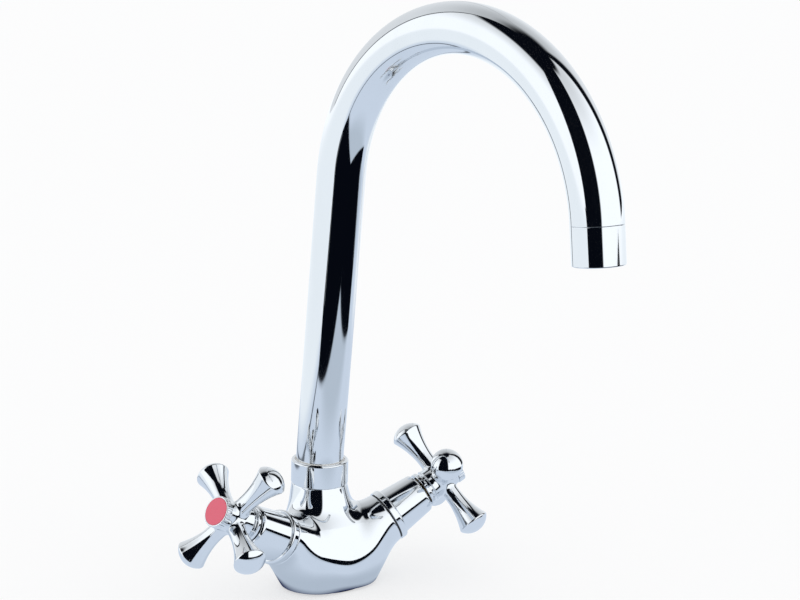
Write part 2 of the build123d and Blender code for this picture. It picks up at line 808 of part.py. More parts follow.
            # X runs out along the lever and Y runs out from its axis
            with BuildSketch(Plane(origin=hub.origin, x_dir=outward, z_dir=outward.cross(hub.z_dir))):
                with BuildLine():
                    Line((lever_root, 0), (lever_root, lever_waist_d / 2))
                    neck = Line((lever_root, lever_waist_d / 2), (lever_waist, lever_waist_d / 2))
                    flare = Spline(neck @ 1, (lever_rim, lever_rim_d / 2), tangents=((1, 0), flare_end))
                    dome = RadiusArc(flare @ 1, (lever_rim + lever_dome, 0), dome_radius)
                    Line(dome @ 1, (lever_root, 0))
                make_face()
            revolve(axis=Axis(hub.origin, outward))
        lever_rims = handle.edges().filter_by(GeomType.CIRCLE)
        lever_rims = lever_rims.filter_by(lambda edge: abs(edge.radius - lever_rim_d / 2) < face_gap)
        fillet(lever_rims, lever_rim_rounding)
        cylinder_up(across(side, skirt_start), skirt_relief_d, skirt_relief, mode=Mode.SUBTRACT)
        # socket for the spindle's splines, its ribs in their flutes
        with BuildSketch(across(side, skirt_start + skirt_relief)):
            Circle(spindle_d / 2 + thread_fit)
            with PolarLocations(spindle_d / 2, spline_count):
                Circle(spline_d / 2 - thread_fit, mode=Mode.SUBTRACT)
        extrude(amount=floor_start - skirt_start - skirt_relief, mode=Mode.SUBTRACT)
        cylinder_up(across(side, floor_start - face_gap), screw_thread_d + 2 * face_gap,
                    hub_floor + 2 * face_gap, mode=Mode.SUBTRACT)
        cylinder_up(across(side, well_start), well_d, hub_end - well_start, mode=Mode.SUBTRACT)
    deliver(handle, tap + "_handle")

    with BuildPart() as handle_screw:
        turned(
            valve_plane,
            (0, well_start - screw_length),
            (screw_thread_d / 2, well_start - screw_length),
            (screw_thread_d / 2, well_start),
            (screw_head_d / 2, well_start),
            (screw_head_d / 2, well_start + screw_head_thickness),
            (0, well_start + screw_head_thickness),
        )
        with BuildSketch(across(side, well_start + screw_head_thickness - screw_socket_depth)):
            RegularPolygon(screw_socket_d / 2, 6, major_radius=False)
        extrude(amount=screw_socket_depth, mode=Mode.SUBTRACT)
    deliver(handle_screw, tap + "_handle_screw")

    with BuildPart() as index_button:
        cylinder_up(across(side, hub_end - button_plug_depth), well_d - 2 * thread_fit, button_plug_depth)
        with BuildSketch(across(side, hub_end)):
            Circle(button_d / 2)
            with PolarLocations(button_d / 2 + button_tooth_d / 4, button_teeth):
                Circle(button_tooth_d / 2, mode=Mode.SUBTRACT)
        extrude(amount=button_height)
        cylinder_up(across(side, hub_end + button_height - index_sunk), index_d + 2 * face_gap, index_sunk,
                    mode=Mode.SUBTRACT)
    deliver(index_button, tap + "_index_button")

    with BuildPart() as index_disc:
        cylinder_up(across(side, hub_end + button_height - index_sunk), index_d, index_thickness)
        face_rims = index_disc.edges().filter_by(GeomType.CIRCLE).sort_by(valve_axis)
        fillet(face_rims[-1:], index_rounding)
    deliver(index_disc, tap + "_index_disc")
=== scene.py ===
"""A two handle kitchen faucet: the finished pieces, their materials and a small studio.

Sizes are in millimetres in the faucet's own frame: the origin is the middle of the foot on the deck,
+Z is up, -Y is the front and -X is the hot side. Meshes are written in metres.
"""

import json
import logging
import math
from dataclasses import dataclass
from enum import Enum

import bpy
import numpy as np
from mathutils import Matrix, Vector


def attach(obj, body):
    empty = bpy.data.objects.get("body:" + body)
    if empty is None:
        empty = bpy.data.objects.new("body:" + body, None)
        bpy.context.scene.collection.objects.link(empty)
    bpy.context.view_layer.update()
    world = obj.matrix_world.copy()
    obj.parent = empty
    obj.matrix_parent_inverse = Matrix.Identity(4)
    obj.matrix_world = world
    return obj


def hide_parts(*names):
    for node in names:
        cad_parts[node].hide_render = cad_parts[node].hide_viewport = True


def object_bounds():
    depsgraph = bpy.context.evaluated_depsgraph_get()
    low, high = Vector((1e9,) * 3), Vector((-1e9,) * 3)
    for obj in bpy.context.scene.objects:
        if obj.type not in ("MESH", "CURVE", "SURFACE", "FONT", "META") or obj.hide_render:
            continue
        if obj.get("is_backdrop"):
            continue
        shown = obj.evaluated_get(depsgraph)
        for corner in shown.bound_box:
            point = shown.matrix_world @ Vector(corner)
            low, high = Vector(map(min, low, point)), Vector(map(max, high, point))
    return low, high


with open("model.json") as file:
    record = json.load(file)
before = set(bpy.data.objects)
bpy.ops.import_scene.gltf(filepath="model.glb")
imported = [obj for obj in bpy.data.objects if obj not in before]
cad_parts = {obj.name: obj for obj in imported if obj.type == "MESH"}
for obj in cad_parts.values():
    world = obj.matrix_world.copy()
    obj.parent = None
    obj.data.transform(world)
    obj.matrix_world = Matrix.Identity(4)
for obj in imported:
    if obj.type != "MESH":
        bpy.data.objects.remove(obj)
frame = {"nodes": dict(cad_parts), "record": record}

MM = 0.001
Array = np.ndarray
Pair = tuple[float, float]
Triple = tuple[float, float, float]
log = logging.getLogger("faucet")


# ---------------------------------------------------------------------------
# Curves, profiles and frames
# ---------------------------------------------------------------------------


def unit(vector: Array) -> Array:
    """The vector at length one, along the last axis."""
    return vector / np.linalg.norm(vector, axis=-1, keepdims=True)


@dataclass(frozen=True)
class Placing:
    """A local frame: where its origin is, and its three unit axes."""

    origin: Array
    x: Array
    y: Array
    z: Array

    @staticmethod
    def along(origin: Array, z: Array, x_hint: Array) -> "Placing":
        """A frame whose Z is given and whose X is as near the hint as it can be.

        Args:
            origin: where the frame stands.
            z: its Z direction, of any length.
            x_hint: a direction that X leans to.

        Returns:
            The right-handed frame.
        """
        z = unit(np.asarray(z, float))
        x = unit(np.asarray(x_hint, float) - z * np.dot(x_hint, z))
        return Placing(np.asarray(origin, float), x, np.cross(z, x), z)

    def place(self, points: Array) -> Array:
        """Local points as points of the faucet's frame."""
        return self.origin + self.turn(points)

    def turn(self, vectors: Array) -> Array:
        """Local directions as directions of the faucet's frame."""
        return vectors @ np.stack([self.x, self.y, self.z])


class Smooth:
    """A natural cubic spline through knots, for any number of columns at once."""

    def __init__(self, at: Array, values: Array) -> None:
        """Solves for the second derivatives, so that slope and bend run on through every knot.

        Args:
            at: rising positions of the knots.
            values: one row of values for each knot.
        """
        self.at = np.asarray(at, float)
        self.values = np.asarray(values, float).reshape(len(self.at), -1)
        gap = np.diff(self.at)
        slope = np.diff(self.values, axis=0) / gap[:, None]
        size = len(self.at)
        system = np.eye(size)
        right = np.zeros_like(self.values)
        inner = np.arange(1, size - 1)
        system[inner, inner - 1] = gap[:-1]
        system[inner, inner] = 2 * (gap[:-1] + gap[1:])
        system[inner, inner + 1] = gap[1:]
        right[1:-1] = 6 * np.diff(slope, axis=0)
        self.bend = np.linalg.solve(system, right)

    def __call__(self, where: Array) -> Array:
        """The spline's values, held level past both ends.

        Args:
            where: positions.

        Returns:
            One row of values for each position.
        """
        where = np.clip(where, self.at[0], self.at[-1])
        cell = np.clip(np.searchsorted(self.at, where) - 1, 0, len(self.at) - 2)
        gap = (self.at[cell + 1] - self.at[cell])[..., None]
        right = (where - self.at[cell])[..., None] / gap
        left = 1 - right
        cubic = (left**3 - left) * self.bend[cell] + (right**3 - right) * self.bend[cell + 1]
        return left * self.values[cell] + right * self.values[cell + 1] + cubic * gap**2 / 6


@dataclass(frozen=True)
class Profile:
    """An outline in a plane through an axis: columns are the distance out and the height along it."""

    points: Array
    normals: Array
    closed: bool

    @staticmethod
    def rounded(corners: list[Triple], closed: bool, steps: int = 6) -> "Profile":
        """Straight runs joined by round corners.

        Each corner is replaced by an arc that touches both of its runs; the arc's middle lies on the
        corner's bisector, at radius / sin(half the corner's angle). Runs stay exactly straight, so the
        outline's normal is known at every point.

        Args:
            corners: out, along and corner radius, in order, with the solid on the left-hand side. A
                radius of zero keeps the corner as one point, as on a curve.
            closed: whether the last corner runs on to the first.
            steps: arc pieces in each round corner.

        Returns:
            The outline with outward normals.
        """
        spots = np.array([corner[:2] for corner in corners], float)
        count = len(spots)
        points: list[Array] = []
        normals: list[Array] = []
        for number, (spot, corner) in enumerate(zip(spots, corners)):
            at_end = not closed and number in (0, count - 1)
            before = spots[number - 1] if number or closed else None
            after = spots[(number + 1) % count] if number < count - 1 or closed else None
            if at_end:
                run = unit(after - spot) if before is None else unit(spot - before)
                points.append(spot[None])
                normals.append(np.array([[run[1], -run[0]]]))
                continue
            arrive, leave = unit(spot - before), unit(after - spot)
            turn = math.atan2(arrive[0] * leave[1] - arrive[1] * leave[0], float(arrive @ leave))
            if not corner[2]:
                way = unit(arrive + leave)
                points.append(spot[None])
                normals.append(np.array([[way[1], -way[0]]]))
                continue
            bow = corner[2] * math.copysign(1, turn)
            share = np.linspace(0, turn, steps + 1)
            cosine, sine = np.cos(share), np.sin(share)
            start = spot - arrive * abs(bow) * math.tan(abs(turn) / 2)
            first = np.array([arrive[1], -arrive[0]])
            spin = np.stack([cosine, -sine, sine, cosine], -1).reshape(-1, 2, 2)
            facing = spin @ first
            points.append(start - first * bow + facing * bow)
            normals.append(facing)
        return Profile(np.concatenate(points), np.concatenate(normals), closed)


@dataclass
class Surface:
    """A mesh to be: points, faces of one size, and a normal for each point if it is known."""

    points: Array
    faces: Array
    normals: Array | None = None
    caps: Array | None = None

    def mesh(self, name: str) -> bpy.types.Mesh:
        """Writes the mesh in metres, smooth, with the known normals.

        Args:
            name: the mesh's name.

        Returns:
            The mesh.
        """
        mesh = bpy.data.meshes.new(name)
        faces = self.faces.tolist() + (self.caps.tolist() if self.caps is not None else [])
        mesh.from_pydata((self.points * MM).tolist(), [], faces)
        mesh.update()
        mesh.polygons.foreach_set("use_smooth", np.ones(len(mesh.polygons), bool))
        if self.normals is not None:
            mesh.normals_split_custom_set_from_vertices(self.normals.tolist())
        return mesh


def turned(profile: Profile, placing: Placing, around: int = 96, wave: Array | None = None) -> Surface:
    """A surface of revolution.

    The point at profile position i and angle a is out_i * (1 + wave) * (cos a, sin a) and along_i. An
    end of an open profile that lies on the axis becomes a single point, with a fan of triangles.

    Args:
        profile: the outline, its height along the placing's Z.
        placing: where the axis stands.
        around: columns of the grid.
        wave: change of radius for each profile point and column, in millimetres, or None.

    Returns:
        The closed surface.
    """
    angle = np.linspace(0, 2 * np.pi, around, endpoint=False)
    out, along = profile.points[:, 0], profile.points[:, 1]
    ring = np.arange(len(out))
    poles = [] if profile.closed else [row for row in (0, len(out) - 1) if out[row] < 1e-6]
    ring = np.array([row for row in ring if row not in poles])
    radius = np.repeat(out[ring, None], around, 1)
    if wave is not None:
        radius = radius + wave[ring]
    height = np.repeat(along[ring, None], around, 1)
    grid = np.stack([radius * np.cos(angle), radius * np.sin(angle), height], -1)
    n_out, n_along = profile.normals[ring, 0:1], profile.normals[ring, 1:2]
    facing = np.stack([n_out * np.cos(angle), n_out * np.sin(angle), np.repeat(n_along, around, 1)], -1)
    rows = len(ring)
    index = np.arange(rows * around).reshape(rows, around)
    beside = np.roll(index, -1, axis=1)
    lower = np.arange(rows if profile.closed else rows - 1)
    upper = (lower + 1) % rows
    faces = np.stack([index[lower], beside[lower], beside[upper], index[upper]], -1).reshape(-1, 4)
    points, normals, caps = grid.reshape(-1, 3), facing.reshape(-1, 3), []
    for row in poles:
        tip = len(points)
        points = np.vstack([points, [[0, 0, along[row]]]])
        normals = np.vstack([normals, [[0, 0, math.copysign(1, profile.normals[row, 1])]]])
        edge = index[0] if row == 0 else index[-1]
        other = np.roll(edge, -1)
        tips = np.full(around, tip)
        caps.append(np.stack([other, edge, tips] if row == 0 else [edge, other, tips], -1))
    known = None if wave is not None else placing.turn(normals)
    return Surface(placing.place(points), faces, known, np.vstack(caps) if caps else None)


@dataclass(frozen=True)
class Path:
    """A line of straight runs and round bends in one plane, walked by the distance along it."""

    start: Array
    heading: Array
    turn_to: Array
    runs: tuple[Pair, ...]

    def at(self, where: Array) -> tuple[Array, Array]:
        """Points and directions at distances along the path.

        Each run is a length and a turn in radians over it. Inside a bend of radius R that began at angle
        b, the way on by an angle t adds R * (sin(b + t) - sin b) along the heading and R * (cos b -
        cos(b + t)) towards the side that it turns to.

        Args:
            where: distances from the start; those past an end go straight on.

        Returns:
            The points and the unit directions.
        """
        ahead, aside, angle, done = 0.0, 0.0, 0.0, 0.0
        along = np.zeros((len(where), 2))
        facing = np.zeros(len(where))
        for number, (length, turn) in enumerate(self.runs):
            last = number == len(self.runs) - 1
            low = -np.inf if number == 0 else done
            here = (where >= low) & ((where < done + length) | last)
            way = where[here] - done
            if turn:
                radius = length / turn
                step = np.clip(way, None, length) / radius
                past = np.clip(way - length, 0, None)
                end = angle + turn
                along[here, 0] = (ahead + radius * (np.sin(angle + step) - math.sin(angle))
                                  + past * math.cos(end))
                along[here, 1] = (aside + radius * (math.cos(angle) - np.cos(angle + step))
                                  + past * math.sin(end))
                facing[here] = angle + step
                ahead += radius * (math.sin(end) - math.sin(angle))
                aside += radius * (math.cos(angle) - math.cos(end))
                angle = end
            else:
                along[here] = np.stack([ahead + way * math.cos(angle), aside + way * math.sin(angle)], -1)
                facing[here] = angle
                ahead += length * math.cos(angle)
                aside += length * math.sin(angle)
            done += length
        frame_axes = np.stack([self.heading, self.turn_to])
        return self.start + along @ frame_axes, np.stack([np.cos(facing), np.sin(facing)], -1) @ frame_axes

    @property
    def length(self) -> float:
        """The whole way, in millimetres."""
        return sum(length for length, _ in self.runs)


def carried(profile: Profile, path: Path, around: int = 96, spacing: float = 1.2) -> Surface:
    """A turned surface whose axis is bent along a path.

    The profile's height is read as the distance along the path. The point at profile radius r and
    angle a is path + r * (cos a * side + sin a * (direction x side)), side being square to the path's
    plane. Long straight runs of the profile are cut into pieces so that they follow the bends.

    Args:
        profile: a closed outline of radius and distance along the path.
        path: the axis.
        around: columns of the grid.
        spacing: the longest piece of a run.

    Returns:
        The closed surface.
    """
    following = np.roll(profile.points, -1, axis=0)
    pieces = np.maximum(np.ceil(np.linalg.norm(following - profile.points, axis=1) / spacing), 1).astype(int)
    row = np.repeat(np.arange(len(pieces)), pieces)
    share = (np.arange(len(row)) - np.repeat(np.cumsum(pieces) - pieces, pieces)) / np.repeat(pieces, pieces)
    share = share[:, None]
    after = np.roll(profile.normals, -1, axis=0)
    spots = profile.points[row] * (1 - share) + following[row] * share
    facings = unit(profile.normals[row] * (1 - share) + after[row] * share)
    centre, way = path.at(spots[:, 1])
    side = np.cross(path.heading, path.turn_to)
    angle = np.linspace(0, 2 * np.pi, around, endpoint=False)
    across = np.cross(way, side)
    outward = np.cos(angle)[None, :, None] * side + np.sin(angle)[None, :, None] * across[:, None, :]
    points = centre[:, None, :] + spots[:, 0][:, None, None] * outward
    normals = facings[:, 0][:, None, None] * outward + facings[:, 1][:, None, None] * way[:, None, :]
    index = np.arange(len(row) * around).reshape(len(row), around)
    beside, above = np.roll(index, -1, axis=1), np.roll(index, -1, axis=0)
    faces = np.stack([index, beside, np.roll(above, -1, axis=1), above], -1).reshape(-1, 4)
    return Surface(points.reshape(-1, 3), faces, normals.reshape(-1, 3))


# ---------------------------------------------------------------------------
# Smoothly joined forms: signed distances, and the surface where they are zero
# ---------------------------------------------------------------------------


def joined(first: Array, second: Array, blend: float) -> Array:
    """Two distances joined by a fillet.

    The result is the smaller, less blend / 6 * (1 - gap / blend) cubed where the gap is under the blend.

    Args:
        first: signed distances to one form.
        second: signed distances to the other.
        blend: the fillet's width, in millimetres.

    Returns:
        The signed distances to both forms as one.
    """
    near = np.clip(1 - np.abs(first - second) / blend, 0, None)
    return np.minimum(first, second) - near**3 * blend / 6


def kept(first: Array, second: Array, blend: float) -> Array:
    """What lies inside both distances, its edge rounded in the same way."""
    return -joined(-first, -second, blend)


class TurnedForm:
    """The signed distance to a solid of revolution, looked up in a table over distance out and height."""

    def __init__(self, outline: Array, margin: float = 3.0, step: float = 0.08) -> None:
        """Measures the distance from a grid of points to every run of the outline.

        Args:
            outline: points from one end on the axis to the other, the solid between them and the axis.
            margin: how far past the outline the table reaches, in millimetres.
            step: the table's spacing.
        """
        self.low = np.array([0.0, outline[:, 1].min() - margin])
        self.step = step
        high = np.array([outline[:, 0].max() + margin, outline[:, 1].max() + margin])
        axes = [np.arange(lo, hi, step) for lo, hi in zip(self.low, high)]
        spots = np.stack(np.meshgrid(*axes, indexing="ij"), -1)
        start, run = outline[:-1], np.diff(outline, axis=0)
        nearest = np.full(spots.shape[:2], np.inf)
        crossings = np.zeros(spots.shape[:2], int)
        for begin, way in zip(start, run):
            offset = spots - begin
            share = np.clip((offset @ way) / max(float(way @ way), 1e-12), 0, 1)
            nearest = np.minimum(nearest, np.linalg.norm(offset - share[..., None] * way, axis=-1))
            bottom, top = sorted((begin[1], begin[1] + way[1]))
            spans = (spots[..., 1] >= bottom) & (spots[..., 1] < top)
            if abs(way[1]) > 1e-12:
                reach = begin[0] + (spots[..., 1] - begin[1]) / way[1] * way[0]
                crossings += spans & (reach > spots[..., 0])
        self.table = np.where(crossings % 2 == 1, -nearest, nearest)

    def __call__(self, out: Array, along: Array) -> Array:
        """Distances between the table's values.

        Args:
            out: the points' distances from the axis.
            along: their heights.

        Returns:
            The signed distances.
        """
        spot = [np.clip((v - lo) / self.step, 0, size - 1.001)
                for v, lo, size in zip((out, along), self.low, self.table.shape)]
        cell = [v.astype(int) for v in spot]
        share = [v - c for v, c in zip(spot, cell)]
        table, (i, j), (p, q) = self.table, cell, share
        lower = table[i, j] * (1 - p) + table[i + 1, j] * p
        upper = table[i, j + 1] * (1 - p) + table[i + 1, j + 1] * p
        return lower * (1 - q) + upper * q


class Form:
    """A closed form given by a signed distance, with the mesh of its surface."""

    settling = 5
    least_slope = 0.05
    fillings = 4

    def distance(self, points: Array) -> Array:
        """Signed distance, below zero inside; each kind of form has its own."""
        raise NotImplementedError

    def slope(self, points: Array, step: float = 0.03) -> Array:
        """The distance's gradient, from the difference across a short step along each axis.

        Args:
            points: where it is wanted.
            step: the step each way, in millimetres.

        Returns:
            One gradient for each point.
        """
        shifts = np.eye(3) * step
        across = [self.distance(points + shift) - self.distance(points - shift) for shift in shifts]
        return np.stack(across, -1) / (2 * step)

    def _untouch(self, inside: Array) -> None:
        """Fills grid squares that are inside at two opposite corners only.

        Two sheets of the surface would share an edge there.

        Args:
            inside: whether each grid point lies inside; changed in place.
        """
        for _ in range(self.fillings):
            for axis in range(3):
                signs = np.moveaxis(inside, axis, 0)
                first, second = signs[:, :-1, :-1], signs[:, 1:, :-1]
                crossed = (first == signs[:, 1:, 1:]) & (second == signs[:, :-1, 1:]) & (first != second)
                first |= crossed
                second |= crossed

    def surface(self, low: Array, high: Array, step: float) -> Surface:
        """The surface where the distance is zero.

        One point stands in each grid cell that the surface passes through, and each grid edge that it
        crosses gives a quad between the four cells round that edge. The points start in the middle of
        their cells and move down the gradient, by distance over slope squared, until they lie on it.

        Args:
            low: the lowest corner of the box to search.
            high: its highest corner.
            step: the grid's spacing.

        Returns:
            The closed surface with its exact normals.
        """
        axes = [np.arange(lo, hi + step, step) for lo, hi in zip(low, high)]
        grid = np.stack(np.meshgrid(*axes, indexing="ij"), -1)
        inside = self.distance(grid.reshape(-1, 3)).reshape(grid.shape[:3]) < 0
        self._untouch(inside)
        shape = [size - 1 for size in inside.shape]
        ends = (0, 1)
        corner = [inside[i:i + shape[0], j:j + shape[1], k:k + shape[2]]
                  for i in ends for j in ends for k in ends]
        count = np.sum(corner, axis=0)
        active = (count > 0) & (count < 8)
        number = np.full(shape, -1)
        number[active] = np.arange(active.sum())
        points = grid[:-1, :-1, :-1][active] + step / 2
        faces = []
        for axis in range(3):
            cells = np.moveaxis(number, axis, 0)
            signs = np.moveaxis(inside, axis, 0)
            enter, leave = signs[:-1, 1:-1, 1:-1], signs[1:, 1:-1, 1:-1]
            quad = np.stack([cells[:, :-1, :-1], cells[:, 1:, :-1], cells[:, 1:, 1:], cells[:, :-1, 1:]], -1)
            flip = axis == 1
            for crossing, turn in ((enter & ~leave, flip), (~enter & leave, not flip)):
                found = quad[crossing]
                faces.append(found[:, ::-1] if turn else found)
        for _ in range(self.settling):
            slope = self.slope(points)
            steep = np.maximum((slope**2).sum(-1, keepdims=True), self.least_slope)
            move = self.distance(points)[:, None] * slope / steep
            points = points - np.clip(move, -step, step)
        return Surface(points, np.concatenate(faces), unit(self.slope(points)))


# ---------------------------------------------------------------------------
# Sizes
# ---------------------------------------------------------------------------


@dataclass(frozen=True)
class BodySize:
    """The cast body: its arms, hull sections, neck and the room inside.

    Lengths are in millimetres and angles in degrees; an arm climbs by `rise` and runs forward by `sweep`.
    A section's half sizes are across, up and down. A neck row is a height, how far back the neck's
    middle stands there, and its radius. A chamber is a radius and where it starts along the arm, the
    neck's bore a radius and its floor, the spigot a radius, its middle's height and half its length, and
    a hole a place, a radius and a depth. `low`, `high` and `grid` are what the mesh is searched in.
    """

    cross_point: Triple = (0.0, -1.8, 10.7)
    rise: float = 29.3
    sweep: float = 8.5
    mouth: float = 34.2
    land: float = 5.0
    root: Triple = (0.0, 0.0, 9.3)
    root_half: Triple = (20.8, 22.0, 31.4)
    shoulder_at: float = 18.0
    shoulder_shift: Triple = (0.65, 0.0, -2.4)
    shoulder_facing: Pair = (15.0, 4.0)
    shoulder_half: Triple = (16.7, 14.8, 20.3)
    land_half: Triple = (12.9, 12.4, 13.65)
    mouth_half: Triple = (12.4, 12.4, 12.4)
    neck: tuple[Triple, ...] = (
        (15.7, 1.54, 17.0), (29.7, 3.65, 16.7), (35.8, 5.0, 14.85), (40.0, 5.6, 14.0), (43.5, 5.95, 13.4),
        (46.7, 6.15, 12.85))
    spigot: Triple = (11.9, 49.0, 4.0)
    valley: float = 15.0
    valley_rise: Pair = (14.0, 30.0)
    foot_valley: float = 1.0
    underside: float = 1.0
    edge: float = 0.9
    gasket_half: Pair = (21.15, 18.15)
    gasket_top: float = 2.2
    chambers: tuple[Pair, ...] = ((9.8, 23.4), (8.7, 15.0), (3.5, 8.0))
    neck_bore: Pair = (10.0, 27.0)
    holes: tuple[tuple[float, float, float, float], ...] = ((8.5, -3.2, 5.0, 11.0), (0.0, 9.0, 4.0, 14.0))
    inner_edge: float = 0.3
    low: Triple = (-45.0, -24.0, -0.25)
    high: Triple = (45.0, 24.0, 54.0)
    grid: float = 0.5


@dataclass(frozen=True)
class SpoutSize:
    """The nut, the bent tube and the outlet.

    The axis is the swivel's place, `turn` how far the spout stands turned from straight ahead, in
    degrees, and each run of the tube a length and a bend in degrees.
    """

    axis: Pair = (0.0, 6.15)
    turn: float = 6.1
    nut_bottom: float = 46.7
    nut_top: float = 57.7
    nut_radius: float = 13.25
    nut_bore: float = 12.05
    nut_lip: float = 1.4
    nut_lip_radius: float = 11.57
    tube_bottom: float = 55.4
    tube_radius: float = 11.0
    bore_radius: float = 9.8
    runs: tuple[Pair, ...] = (
        (2.843, 0.0), (4.712, 4.5), (130.6, 0.0), (232.35, 168.3))
    sleeve_length: float = 16.2
    sleeve_bore: float = 9.3
    lip_bore: float = 8.3
    lip: float = 1.4


@dataclass(frozen=True)
class TapSize:
    """A handle with its collar, sleeve and index button; stations run out along the arm's axis.

    The collar and the sleeve have a first and a last station. The waist, the groove and the hub's top
    are a station and a radius, the lever's rim a way along the lever and a radius, the sleeve's neck and
    lead a length and a radius, and skirt, button and disc two stations and a radius. The socket, the
    relief before it and the screw's well are a radius and the station of its end. `flute` is a flute's
    half width and depth, how far inside the rim it begins, and over which length it deepens. The mesh is
    searched `margin` past the levers and the skirt and up to `top` above the levers' axes.
    """

    collar: Pair = (34.8, 38.2)
    collar_radius: float = 12.75
    collar_bore: float = 9.83
    sleeve: Pair = (38.2, 55.2)
    sleeve_radius: float = 11.4
    sleeve_waist: Pair = (53.0, 9.8)
    sleeve_mouth: float = 7.0
    sleeve_lip: float = 2.0
    sleeve_neck: Pair = (8.7, 8.25)
    sleeve_bore: float = 9.2
    sleeve_lead: Pair = (4.0, 10.45)
    skirt: Triple = (56.0, 57.9, 8.7)
    groove: Pair = (59.5, 7.3)
    hub_foot: float = 8.1
    hub_top: Pair = (73.6, 6.85)
    lever_station: float = 66.8
    lever_root: float = 4.0
    lever_neck: float = 10.5
    lever_rim: Pair = (26.4, 7.6)
    lever_rim_edge: float = 0.9
    lever_flare: float = 24.0
    lever_end: float = 30.8
    lever_fillet: float = 2.4
    socket: Pair = (4.1, 68.25)
    relief: Pair = (5.5, 57.2)
    well: Pair = (4.5, 70.25)
    button: Triple = (73.6, 76.8, 7.2)
    disc: Triple = (76.3, 77.0, 6.3)
    disc_fit: float = 0.1
    flutes: int = 36
    flute: tuple[float, float, float, float] = (0.3, 0.17, 0.45, 0.4)
    flute_columns: int = 12
    margin: float = 1.0
    top: float = 9.0
    grid: float = 0.4


# ---------------------------------------------------------------------------
# The cast body
# ---------------------------------------------------------------------------


def arm_axis(side: int, size: BodySize) -> Array:
    """Direction out of the body along an arm.

    Args:
        side: -1 for the hot arm, 1 for the cold one.
        size: the body's sizes.

    Returns:
        The unit direction.
    """
    rise, sweep = math.radians(size.rise), math.radians(size.sweep)
    level = math.cos(rise)
    return np.array([side * level * math.cos(sweep), -level * math.sin(sweep), math.sin(rise)])


